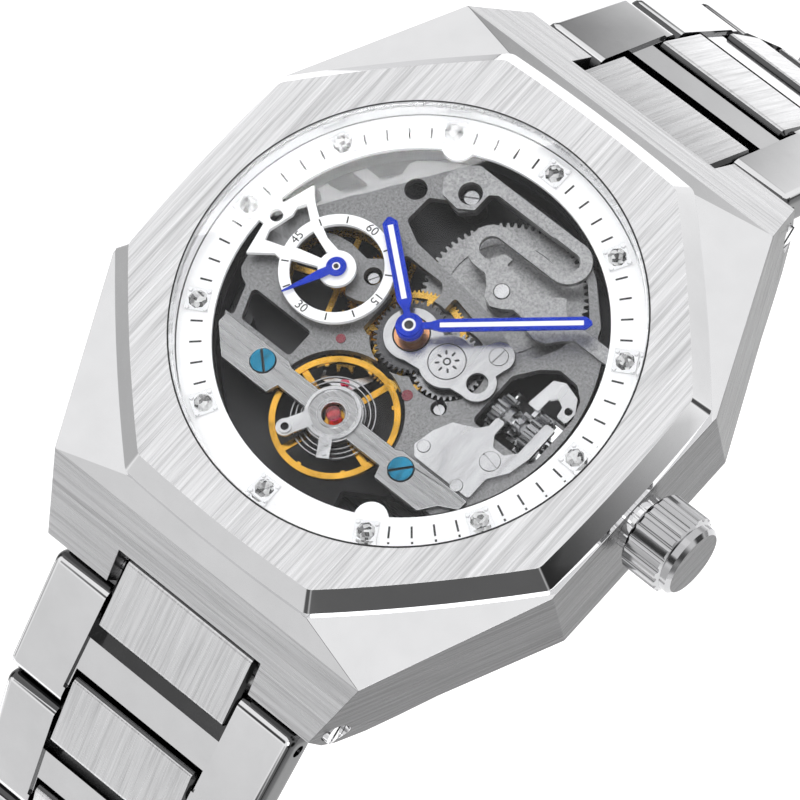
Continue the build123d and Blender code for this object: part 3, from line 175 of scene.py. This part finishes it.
def brushed(name, shade, rough, stretch, strength, spread=0.16):
    """Brushed metal, whose streaks differ from the shade by about spread."""
    made, tree, shader = material(name, 1)
    streak, fine = streaks(tree, stretch)
    dark, light = times(shade, 1 - spread), times(shade, 1 + spread * 0.6)
    tree.links.new(ramp(tree, streak, [(0.3, dark), (0.5, shade), (0.7, light)]), shader.inputs["Base Color"])
    tree.links.new(ramp(tree, fine, [(0.3, rough * 0.75), (0.7, rough * 1.3)]), shader.inputs["Roughness"])
    bump(tree, shader, streak, strength, 0.02)
    return made


def two_finish(name, shade, clean, axis, low, high, stretch, rough, polish, strength):
    """Steel that is brushed where it faces along axis, and polished in the clean shade elsewhere."""
    made, tree, shader = material(name, 1)
    where = facing(tree, axis, low, high)
    streak, fine = streaks(tree, stretch)
    colour = ramp(tree, streak, [(0.34, times(shade, 0.72)), (0.5, shade), (0.66, times(shade, 1.2))])
    haze = noise(tree, coords(tree), 0.35, 4)
    calm = ramp(tree, haze, [(0.3, times(clean, 0.95)), (0.7, clean)])
    tree.links.new(mix(tree, where, calm, colour), shader.inputs["Base Color"])
    scratchy = ramp(tree, fine, [(0.3, rough * 0.75), (0.7, rough * 1.3)])
    smooth = ramp(tree, haze, [(0.25, polish * 0.7), (0.75, polish * 1.5)])
    tree.links.new(mix(tree, where, smooth, scratchy), shader.inputs["Roughness"])
    relief = node(tree, "ShaderNodeMath", operation="MULTIPLY")
    tree.links.new(where, relief.inputs[0])
    tree.links.new(streak, relief.inputs[1])
    bump(tree, shader, relief.outputs["Value"], strength, 0.02)
    return made


def frosted(name, shade, rough):
    """Fine bead-blasted metal."""
    made, tree, shader = material(name, 1)
    speck = noise(tree, coords(tree), 5.5, 4, 0.7)
    cloud = noise(tree, coords(tree), 0.5, 3)
    dark, light = times(shade, 0.62), times(shade, 1.35)
    tree.links.new(ramp(tree, speck, [(0.3, dark), (0.7, light)]), shader.inputs["Base Color"])
    tree.links.new(ramp(tree, cloud, [(0.3, rough * 0.8), (0.7, rough * 1.25)]), shader.inputs["Roughness"])
    bump(tree, shader, speck, 0.5, 0.012)
    return made


def lacquer(name, shade, rough, coat, grain=3.0, variation=0.06):
    """Smooth lacquer or enamel with slight cloudiness and orange peel."""
    made, tree, shader = material(name)
    shader.inputs["Coat Weight"].default_value = coat
    shader.inputs["Coat Roughness"].default_value = 0.05
    cloud = noise(tree, coords(tree), grain, 3)
    dark = times(shade, 1 - variation)
    tree.links.new(ramp(tree, cloud, [(0.3, dark), (0.7, shade)]), shader.inputs["Base Color"])
    tree.links.new(ramp(tree, cloud, [(0.3, rough * 0.8), (0.7, rough * 1.2)]), shader.inputs["Roughness"])
    bump(tree, shader, cloud, 0.08, 0.004)
    return made


def clear(name, tint, rough, ior):
    """Glass or gemstone."""
    made, tree, shader = material(name)
    shader.inputs["Transmission Weight"].default_value = 1
    shader.inputs["IOR"].default_value = ior
    cloud = noise(tree, coords(tree), 0.8, 3)
    tree.links.new(ramp(tree, cloud, [(0.3, times(tint, 0.985)), (0.7, tint)]), shader.inputs["Base Color"])
    tree.links.new(ramp(tree, cloud, [(0.3, rough), (0.7, rough + 0.004)]), shader.inputs["Roughness"])
    return made


def paint_facet_glints(made):
    """Painted reflections: dark and bright facets painted into the colour of the small stones."""
    tree = made.node_tree
    shader = tree.nodes["Principled BSDF"]
    shader.inputs["Transmission Weight"].default_value = 0.35
    cells = node(tree, "ShaderNodeTexVoronoi")
    cells.inputs["Scale"].default_value = 3.2
    tree.links.new(coords(tree), cells.inputs["Vector"])
    grey = ramp(tree, cells.outputs["Color"], [(0.25, 0.02), (0.42, 0.35), (0.62, 1.0)])
    tree.links.new(grey, shader.inputs["Base Color"])
    bump(tree, shader, cells.outputs["Distance"], 0.8, 0.25)


def pass_light(made):
    """Light goes through the crystal as through thin glass, so what is under it is not in a dark shadow."""
    tree = made.node_tree
    path = node(tree, "ShaderNodeLightPath")
    through = node(tree, "ShaderNodeBsdfTransparent")
    blend = node(tree, "ShaderNodeMixShader")
    tree.links.new(path.outputs["Is Shadow Ray"], blend.inputs["Fac"])
    tree.links.new(tree.nodes["Principled BSDF"].outputs["BSDF"], blend.inputs[1])
    tree.links.new(through.outputs["BSDF"], blend.inputs[2])
    tree.links.new(blend.outputs["Shader"], tree.nodes["Material Output"].inputs["Surface"])


# ---------------------------------------------------------------- materials
bezel_steel = two_finish(
    "bezel_steel", shade=(0.69, 0.69, 0.70), clean=(0.84, 0.84, 0.85), axis=(0, 0, 1), low=0.93, high=0.97,
    stretch=(3.2, 0.06, 3.2), rough=0.3, polish=0.06, strength=0.5,
)
polished_steel = polished("polished_steel")
case_steel = polished("case_steel", (0.80, 0.80, 0.81), 0.09)
end_brushed = brushed("end_brushed", (0.62, 0.62, 0.63), 0.3, (0.06, 3.2, 3.2), 0.4, spread=0.3)
# painted shade: brushed steel painted nearly black, for the upright flanks of the case and the flat end of
# the crown
brushed_painted_shade = brushed("brushed_painted_shade", (0.13, 0.13, 0.132), 0.3, (0.06, 0.06, 3.4), 0.3, spread=0.5)
link_brushed = brushed("link_brushed", (0.74, 0.74, 0.75), 0.3, (3.4, 0.1, 0.1), 0.4, spread=0.24)
link_polished = polished("link_polished", (0.80, 0.80, 0.81), 0.08)
# painted shade: polished steel painted darker for the crown and its flutes
crown_steel_painted_shade = polished("crown_steel_painted_shade", (0.52, 0.52, 0.53), 0.1)
bright_edge = polished("bright_edge", (0.66, 0.66, 0.67), 0.22)
# painted shade for the flanks and ends of the bracelet's links
link_painted_shade = polished("link_painted_shade", (0.10, 0.10, 0.102), 0.12)
clasp_brushed = brushed("clasp_brushed", (0.62, 0.62, 0.63), 0.3, (3.4, 0.1, 0.1), 0.4)
frosted_steel = frosted("frosted_steel", (0.25, 0.25, 0.254), 0.42)
frosted_bright = frosted("frosted_bright", (0.36, 0.36, 0.364), 0.38)
frosted_mid = frosted("frosted_mid", (0.33, 0.33, 0.334), 0.36)
# painted shade: frosted steel painted nearly black for the mainplate, deep in the gaps of the movement
frosted_painted_shade = frosted("frosted_painted_shade", (0.05, 0.05, 0.052), 0.4)
plate_polished = brushed("plate_polished", (0.52, 0.52, 0.53), 0.22, (0.16, 0.03, 0.1), 0.01, spread=0.4)
bridge_brushed = brushed("bridge_brushed", (0.34, 0.34, 0.345), 0.3, (0.1, 4, 4), 0.3, spread=0.3)
black_metal = lacquer("black_metal", (0.006, 0.006, 0.007), 0.4, 0.1)
gold = brushed("gold", (0.62, 0.34, 0.05), 0.14, (0.28, 0.28, 0.28), 0.02, spread=0.6)
gold_wheel = brushed("gold_wheel", (0.66, 0.40, 0.09), 0.26, (3, 3, 3), 0.15)
copper = polished("copper", (0.72, 0.36, 0.19), 0.2)
# dark steel for the hour wheel, also the painted shade in the cuts of the cover plate
dark_steel_and_shade = frosted("dark_steel_and_shade", (0.11, 0.11, 0.115), 0.36)
wheel_steel = polished("wheel_steel", (0.34, 0.34, 0.35), 0.22)
blued = brushed("blued", (0.025, 0.19, 0.31), 0.22, (0.9, 0.3, 0.9), 0.05, spread=0.75)
hand_blue = lacquer("hand_blue", (0.0, 0.03, 0.5), 0.3, 0.0, grain=2.0, variation=0.3)
hand_blue.node_tree.nodes["Principled BSDF"].inputs["Specular IOR Level"].default_value = 0.12
hand_white = lacquer("hand_white", (0.86, 0.87, 0.88), 0.4, 0.1)
dial_white = lacquer("dial_white", (0.95, 0.95, 0.955), 0.35, 0.15, variation=0.02)
# black print, also the painted shade in the slots of the bridge screws
print_and_shade_black = lacquer("print_and_shade_black", (0.015, 0.015, 0.016), 0.5, 0.0)
ruby = clear("ruby", (0.85, 0.04, 0.16), 0.03, 1.76)
stone = clear("stone", (0.97, 0.98, 1.0), 0.0, 2.0)
sapphire = clear("sapphire", (0.99, 0.995, 1.0), 0.0, 1.22)
# painted reflections: dark and bright facets in the small stones
paint_facet_glints(stone)
pass_light(sapphire)


# ---------------------------------------------------------------- finishes and painted shade of the CAD nodes
def finish_node(name, made, bevel=0.0, angle=30, segments=2, edge=None):
    """Give a CAD node its material, eased edges and smooth shading on curved faces."""
    thing = nodes[name]
    thing.data.materials.clear()
    thing.data.materials.append(made)
    for polygon in thing.data.polygons:
        polygon.use_smooth = True
        polygon.material_index = 0
    if "custom_normal" in thing.data.attributes:
        thing.data.attributes.remove(thing.data.attributes["custom_normal"])
    weld = thing.modifiers.new("weld", "WELD")
    weld.merge_threshold = 0.002 * MM
    if bevel:
        ease = thing.modifiers.new("ease", "BEVEL")
        ease.width = bevel * MM
        ease.segments = segments
        ease.limit_method = "ANGLE"
        ease.angle_limit = math.radians(angle)
        ease.harden_normals = True
        ease.use_clamp_overlap = True
        if edge:
            thing.data.materials.append(edge)
            ease.material = 1
    else:
        split = thing.modifiers.new("split", "EDGE_SPLIT")
        split.split_angle = math.radians(angle)
    return thing


def second_material(thing, made, belongs):
    """One more material, on the polygons for which belongs is true."""
    thing.data.materials.append(made)
    index = len(thing.data.materials) - 1
    for polygon in thing.data.polygons:
        if belongs(polygon):
            polygon.material_index = index


def case_end(polygon):
    """The sloping faces of the case above the bracelet."""
    normal = polygon.normal
    return abs(normal.y) > 0.7 and 0.5 < normal.z < 0.7 and abs(normal.x) < 0.1


def case_flank(polygon):
    """The upright sides of the case, which get painted shade."""
    return abs(polygon.normal.z) < 0.2 and abs(polygon.normal.x) > 0.6


def crown_end(polygon):
    """The flat outer end of the crown, which gets painted shade."""
    return polygon.normal.x > 0.95


def paint_link_shade(thing, made, side, turn):
    """Painted shade: dark steel on the flanks and ends of a link, between the eased edges of its two broad
    faces.
    """
    top = Vector((0, side * math.sin(math.radians(turn)), math.cos(math.radians(turn))))
    second_material(thing, made, lambda polygon: abs(polygon.normal.dot(top)) < 0.8)


def paint_cut_shade(thing, made):
    """Painted shade: cuts in a flat top, such as a screw's slot or an engraving, are painted darker than the
    top itself.
    """
    head = max(vertex.co.z for vertex in thing.data.vertices)
    second_material(thing, made, lambda polygon: polygon.center.z < head - 0.03 * MM)


case = finish_node("case_body", case_steel, 0.06, angle=7)
second_material(case, end_brushed, case_end)
# painted shade on the upright flanks of the case
second_material(case, brushed_painted_shade, case_flank)
# the crown in darker painted shade, and more painted shade on its flat end
second_material(finish_node("crown", crown_steel_painted_shade, 0.05), brushed_painted_shade, crown_end)

CENTRE_TURNS, OUTER_TURNS = (46, 52, 63, 73), (44, 57, 68, 78)  # how far each link of the bracelet hangs down
for half, side in (("upper", 1), ("lower", -1)):
    for row in range(4):
        centre_link = finish_node(f"{half}_centre_link_{row + 1}", link_brushed, 0.05)
        paint_link_shade(centre_link, link_painted_shade, side, CENTRE_TURNS[row])
        outer_link = finish_node(f"{half}_outer_link_{row + 1}", link_polished, 0.05)
        paint_link_shade(outer_link, link_painted_shade, side, OUTER_TURNS[row])

finish_node("front_plate", frosted_steel, 0.1, segments=1, edge=bright_edge)
finish_node("barrel_bridge", frosted_bright, 0.12, segments=1, edge=bright_edge)
finish_node("balance_bridge", bridge_brushed, 0.1, segments=1, edge=bright_edge)
# painted shade in the cuts of the cover plate and in the slots of the bridge screws
paint_cut_shade(finish_node("cover_plate", plate_polished, 0.02), dark_steel_and_shade)
paint_cut_shade(finish_node("bridge_screws", blued, 0.04), print_and_shade_black)

# every other node: its material, and the width of its eased edges
for name, made, bevel in (
    ("bezel", bezel_steel, 0.07),
    ("crystal", sapphire, 0),
    ("case_back", polished_steel, 0.06),
    ("back_window", sapphire, 0),
    ("lug_pins", polished_steel, 0.04),
    ("crown_tube", polished_steel, 0.03),
    ("winding_stem", polished_steel, 0),
    ("clasp_cover", clasp_brushed, 0.04),
    ("clasp_outer_blade", clasp_brushed, 0.04),
    ("clasp_inner_blade", clasp_brushed, 0.04),
    ("chapter_ring", dial_white, 0.03),
    ("stone_seats", polished_steel, 0.02),
    ("hour_stones", stone, 0),
    ("hour_hand", hand_blue, 0.05),
    ("minute_hand", hand_blue, 0.05),
    ("seconds_hand", hand_blue, 0.02),
    ("movement_ring", black_metal, 0.03),
    # the mainplate in painted shade
    ("mainplate", frosted_painted_shade, 0.04),
    ("setting_plate", plate_polished, 0.05),
    ("regulator", plate_polished, 0.03),
    ("plate_screws", plate_polished, 0.03),
    ("jewels", ruby, 0),
    ("rear_bridge", frosted_steel, 0.05),
    ("hairspring", wheel_steel, 0),
    ("rotor", bridge_brushed, 0.05),
    ("barrel", frosted_mid, 0),
    ("centre_wheel", gold_wheel, 0),
    ("third_wheel", gold_wheel, 0),
    ("fourth_wheel", gold_wheel, 0),
    ("escape_wheel", gold_wheel, 0),
    ("minute_wheel", wheel_steel, 0),
    ("hour_wheel", dark_steel_and_shade, 0),
    ("pallet_fork", plate_polished, 0),
    ("balance_wheel", gold, 0.04),
    ("clutch_wheel", wheel_steel, 0),
    ("winding_pinion", wheel_steel, 0),
    ("yoke", plate_polished, 0.03),
):
    finish_node(name, made, bevel)


# ---------------------------------------------------------------- small pieces
MIDDLE, FOURTH = (0.0, 0.0), (-7.40, 0.3)  # axes of the main hands and of the seconds hand
MINUTE_ANGLE, HOUR_ANGLE = 50.2, 308.5  # clock angles of the main hands
DIAL_TOP, PRINT = 10.0, 0.012  # upper face of the dial ring, and thickness of the ticks on it
BARE_MINUTES = (26, 27, 28, 29, 31, 32, 33, 34)  # no ticks on either side of the half disc at 6 o'clock


def mesh_piece(name, made, body, slot, build, **sizes):
    """A new mesh from a bmesh builder and its sizes, riding on a body."""
    data = bpy.data.meshes.new(name)
    form = bmesh.new()
    build(form, **sizes)
    form.to_mesh(data)
    form.free()
    data.materials.append(made)
    thing = bpy.data.objects.new(name, data)
    bpy.context.scene.collection.objects.link(thing)
    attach(thing, body)


def clock(radius, degrees, centre=MIDDLE):
    """The (x, y) point at a clock angle, which runs clockwise from 12 o'clock."""
    angle = math.radians(90 - degrees)
    return (centre[0] + radius * math.cos(angle), centre[1] + radius * math.sin(angle))


def circle(radius, count, centre=MIDDLE):
    """An outline of (x, y) points, counterclockwise."""
    return [clock(radius, -360 / count * i, centre) for i in range(count)]


def level(form, outline, height):
    """Vertices on an outline of (x, y) points, all at one height."""
    return [form.verts.new((x * MM, y * MM, height * MM)) for x, y in outline]


def slab(form, outline, low, high):
    """An upright prism on an outline of (x, y) points."""
    lower = level(form, outline, low)
    upper = level(form, outline, high)
    count = len(outline)
    form.faces.new(list(reversed(lower)))
    form.faces.new(upper)
    for i in range(count):
        j = (i + 1) % count
        form.faces.new((lower[i], lower[j], upper[j], upper[i]))


def round_slab(form, centre, radius, low, high):
    """A round upright slab."""
    slab(form, circle(radius, 24, centre), low, high)


def flat_ring(form, bore, radius, z_bore, z_rim, count):
    """A thin flat or slightly conical ring about the middle of the watch."""
    inner = level(form, circle(bore, count), z_bore)
    outer = level(form, circle(radius, count), z_rim)
    for i in range(count):
        j = (i + 1) % count
        form.faces.new((inner[i], outer[i], outer[j], inner[j]))


def bar(form, centre, degrees, start, end, width, low, high):
    """A radial bar at a clock angle."""
    out = Vector(clock(1, degrees))
    side = Vector((-out.y, out.x)) * width / 2
    base = Vector(centre)
    corners = (
        base + out * start - side, base + out * end - side,
        base + out * end + side, base + out * start + side,
    )
    slab(form, [tuple(corner) for corner in corners], low, high)


def minute_ticks(form):
    """A printed tick for each minute between the hour stones."""
    for minute in range(60):
        if minute % 5 and minute not in BARE_MINUTES:
            bar(form, MIDDLE, 6 * minute, 15.05, 15.95, 0.15, DIAL_TOP, DIAL_TOP + PRINT)


def seconds_ticks(form):
    """A printed tick for each five seconds between the numerals."""
    for step in range(12):
        if step % 3:
            bar(form, FOURTH, 30 * step, 3.55, 4.1, 0.11, DIAL_TOP, DIAL_TOP + PRINT)


def numeral(text, degrees, turn):
    """One printed number on the small seconds ring."""
    data = bpy.data.curves.new("numeral_" + text, "FONT")
    data.body = text
    data.size = 0.95 * MM
    data.align_x = "CENTER"
    data.align_y = "CENTER"
    data.extrude = 0.005 * MM
    data.materials.append(print_and_shade_black)
    thing = bpy.data.objects.new("numeral_" + text, data)
    bpy.context.scene.collection.objects.link(thing)
    x, y = clock(3.84, degrees, FOURTH)
    thing.location = (x * MM, y * MM, (DIAL_TOP + 0.008) * MM)
    thing.rotation_euler = (0, 0, math.radians(turn))
    bpy.context.view_layer.update()
    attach(thing, "case")


mesh_piece("minute_track", print_and_shade_black, "case", "dial_white", minute_ticks)
mesh_piece("seconds_track", print_and_shade_black, "case", "dial_white", seconds_ticks)
for text, degrees, turn in (("60", 0, 0), ("15", 90, -90), ("30", 180, 0), ("45", 270, 90)):
    numeral(text, degrees, turn)

# white stripes along the main hands
mesh_piece(
    "minute_stripe", hand_white, "centre_train", "blue_hands", bar,
    centre=MIDDLE, degrees=MINUTE_ANGLE, start=2.2, end=12.5, width=0.36, low=10.915, high=10.94,
)
mesh_piece(
    "hour_stripe", hand_white, "hour_train", "blue_hands", bar,
    centre=MIDDLE, degrees=HOUR_ANGLE, start=2.3, end=8.2, width=0.4, low=10.555, high=10.58,
)

# silver caps with dark centres on the minute and seconds hubs
mesh_piece(
    "minute_hub_rim", polished_steel, "centre_train", "screw_steel", round_slab,
    centre=MIDDLE, radius=0.5, low=11.0, high=11.08,
)
mesh_piece(
    "minute_hub_centre", print_and_shade_black, "centre_train", "movement_black", round_slab,
    centre=MIDDLE, radius=0.33, low=11.08, high=11.1,
)
mesh_piece(
    "seconds_hub_rim", polished_steel, "seconds_train", "screw_steel", round_slab,
    centre=FOURTH, radius=0.3, low=10.32, high=10.37,
)
mesh_piece(
    "seconds_hub_centre", print_and_shade_black, "seconds_train", "movement_black", round_slab,
    centre=FOURTH, radius=0.19, low=10.37, high=10.39,
)

# the collar under the hands, and a thin dark ring round the edge of the crystal
mesh_piece(
    "copper_collar", copper, "hour_train", "gold", flat_ring,
    bore=0.74, radius=1.28, z_bore=9.345, z_rim=9.36, count=36,
)
mesh_piece(
    "crystal_dark_ring", print_and_shade_black, "case", "movement_black", flat_ring,
    bore=17.2, radius=17.33, z_bore=11.87, z_rim=11.865, count=120,
)


# ---------------------------------------------------------------- floor
FLOOR_RADIUS, FLOOR_CORNERS = 190, 72
FLOOR_DROP = 1  # from the lowest point of the watch down to the floor

floor_data = bpy.data.meshes.new("floor")
floor_form = bmesh.new()
floor_z = cad_box[0][2] / MM - FLOOR_DROP
floor_form.faces.new(level(floor_form, circle(FLOOR_RADIUS, FLOOR_CORNERS), floor_z))
floor_form.to_mesh(floor_data)
floor_form.free()
floor = bpy.data.objects.new("floor", floor_data)
bpy.context.scene.collection.objects.link(floor)
floor_paint, floor_tree, floor_shader = material("floor_paint")
floor_cloud = noise(floor_tree, coords(floor_tree), 0.004, 2)
floor_white = ramp(floor_tree, floor_cloud, [(0.3, 0.95), (0.7, 0.96)])
floor_tree.links.new(floor_white, floor_shader.inputs["Base Color"])
floor_shader.inputs["Roughness"].default_value = 0.9
floor_shader.inputs["Emission Color"].default_value = (1, 1, 1, 1)
floor_shader.inputs["Emission Strength"].default_value = 0.4
floor_data.materials.append(floor_paint)


# ---------------------------------------------------------------- light
# dark screens: azimuth, elevation, inner and outer half angle in degrees, brightness left
SCREENS = (
    (-3, 4, 9, 25, 0.03),
    (-44, 8, 12, 26, 0.12),
    (-110, -2, 12, 26, 0.75),
    (-160, -19, 14, 30, 0.5),
    (60, -30, 10, 24, 0.5),
    (41, 0, 7, 17, 0.08),
    (-79, 4, 7, 17, 0.10),
    (-108, 44, 7, 16, 0.05),
    (125, -4, 10, 22, 0.12),
    (180, 6, 10, 22, 0.12),
)
CRYSTAL_TOP = 12.1
GLINT_EDGE = ((-14.6, -2.45), (-0.4, 17.6))  # where the lower edge of the veil crosses the crystal
GLINT_AWAY, GLINT_LENGTH, GLINT_WIDTH = 0.6, 0.2, 0.06  # lamp of the veil, in metres: distance and size


def toward(azimuth, elevation):
    """The direction at an azimuth and an elevation."""
    flat = math.cos(math.radians(elevation))
    return (
        flat * math.cos(math.radians(azimuth)), flat * math.sin(math.radians(azimuth)),
        math.sin(math.radians(elevation)),
    )


def studio():
    """A white room with a few dark screens, which give the polished facets their contrast."""
    world = bpy.data.worlds.new("studio")
    bpy.context.scene.world = world
    world.use_nodes = True
    sky = world.node_tree
    source = node(sky, "ShaderNodeTexCoord")
    brightness = None
    for azimuth, elevation, inner, outer, darkness in SCREENS:
        dot = node(sky, "ShaderNodeVectorMath", operation="DOT_PRODUCT")
        dot.inputs[1].default_value = toward(azimuth, elevation)
        sky.links.new(source.outputs["Generated"], dot.inputs[0])
        fall = node(sky, "ShaderNodeMapRange", interpolation_type="SMOOTHSTEP")
        fall.inputs["From Min"].default_value = math.cos(math.radians(outer))
        fall.inputs["From Max"].default_value = math.cos(math.radians(inner))
        fall.inputs["To Min"].default_value = 1.0
        fall.inputs["To Max"].default_value = darkness
        sky.links.new(dot.outputs["Value"], fall.inputs["Value"])
        if brightness is None:
            brightness = fall.outputs["Result"]
        else:
            both = node(sky, "ShaderNodeMath", operation="MULTIPLY")
            sky.links.new(brightness, both.inputs[0])
            sky.links.new(fall.outputs["Result"], both.inputs[1])
            brightness = both.outputs["Value"]
    sky.links.new(brightness, sky.nodes["Background"].inputs["Color"])
    sky.nodes["Background"].inputs["Strength"].default_value = 1.0


def area_lamp(name, length, width, energy):
    """A rectangular lamp, with its length and width in metres."""
    data = bpy.data.lights.new(name, "AREA")
    data.shape = "RECTANGLE"
    data.size, data.size_y = length, width
    data.energy = energy
    lamp = bpy.data.objects.new(name, data)
    bpy.context.scene.collection.objects.link(lamp)
    return lamp


def panel(name, length, width, location, energy):
    """A soft box that faces the watch, at a location in metres."""
    lamp = area_lamp(name, length, width, energy)
    lamp.location = location
    lamp.rotation_euler = (-Vector(location)).to_track_quat("-Z", "Y").to_euler()


def crystal_glint(energy):
    """A strip lamp that only the crystal mirrors: a pale veil over its upper left part."""
    eye = place * MM
    mirror = Vector((1, 1, -1))
    ends = []
    for x, y in GLINT_EDGE:
        spot = Vector((x, y, CRYSTAL_TOP)) * MM
        ray = (spot - eye).normalized() * mirror
        ends.append(spot + ray * GLINT_AWAY)
    middle = (ends[0] + ends[1]) / 2
    along = (ends[1] - ends[0]).normalized()
    glance = middle.normalized()
    across = glance.cross(along).normalized()
    if across.dot(up * mirror) < 0:
        across = -across
    lamp = area_lamp("glint", GLINT_LENGTH, GLINT_WIDTH, energy)
    centre = middle + across * (GLINT_WIDTH / 2)
    # a lamp shines along its own -z, so its z points away from the crystal
    away = along.cross(across).normalized()
    if away.dot(glance) < 0:
        across, away = -across, -away
    lamp.matrix_world = Matrix.Translation(centre) @ Matrix((along, across, away)).transposed().to_4x4()
    receivers = bpy.data.collections.new("glint_receivers")
    receivers.objects.link(nodes["crystal"])
    lamp.light_linking.receiver_collection = receivers
    lamp.visible_transmission = False
    lamp.visible_diffuse = False


studio()
panel("key", 0.5, 0.5, (-0.45, 0.35, 0.9), 0.15)
panel("fill", 0.4, 0.6, (0.6, -0.6, 0.7), 1.2)
crystal_glint(1.0)
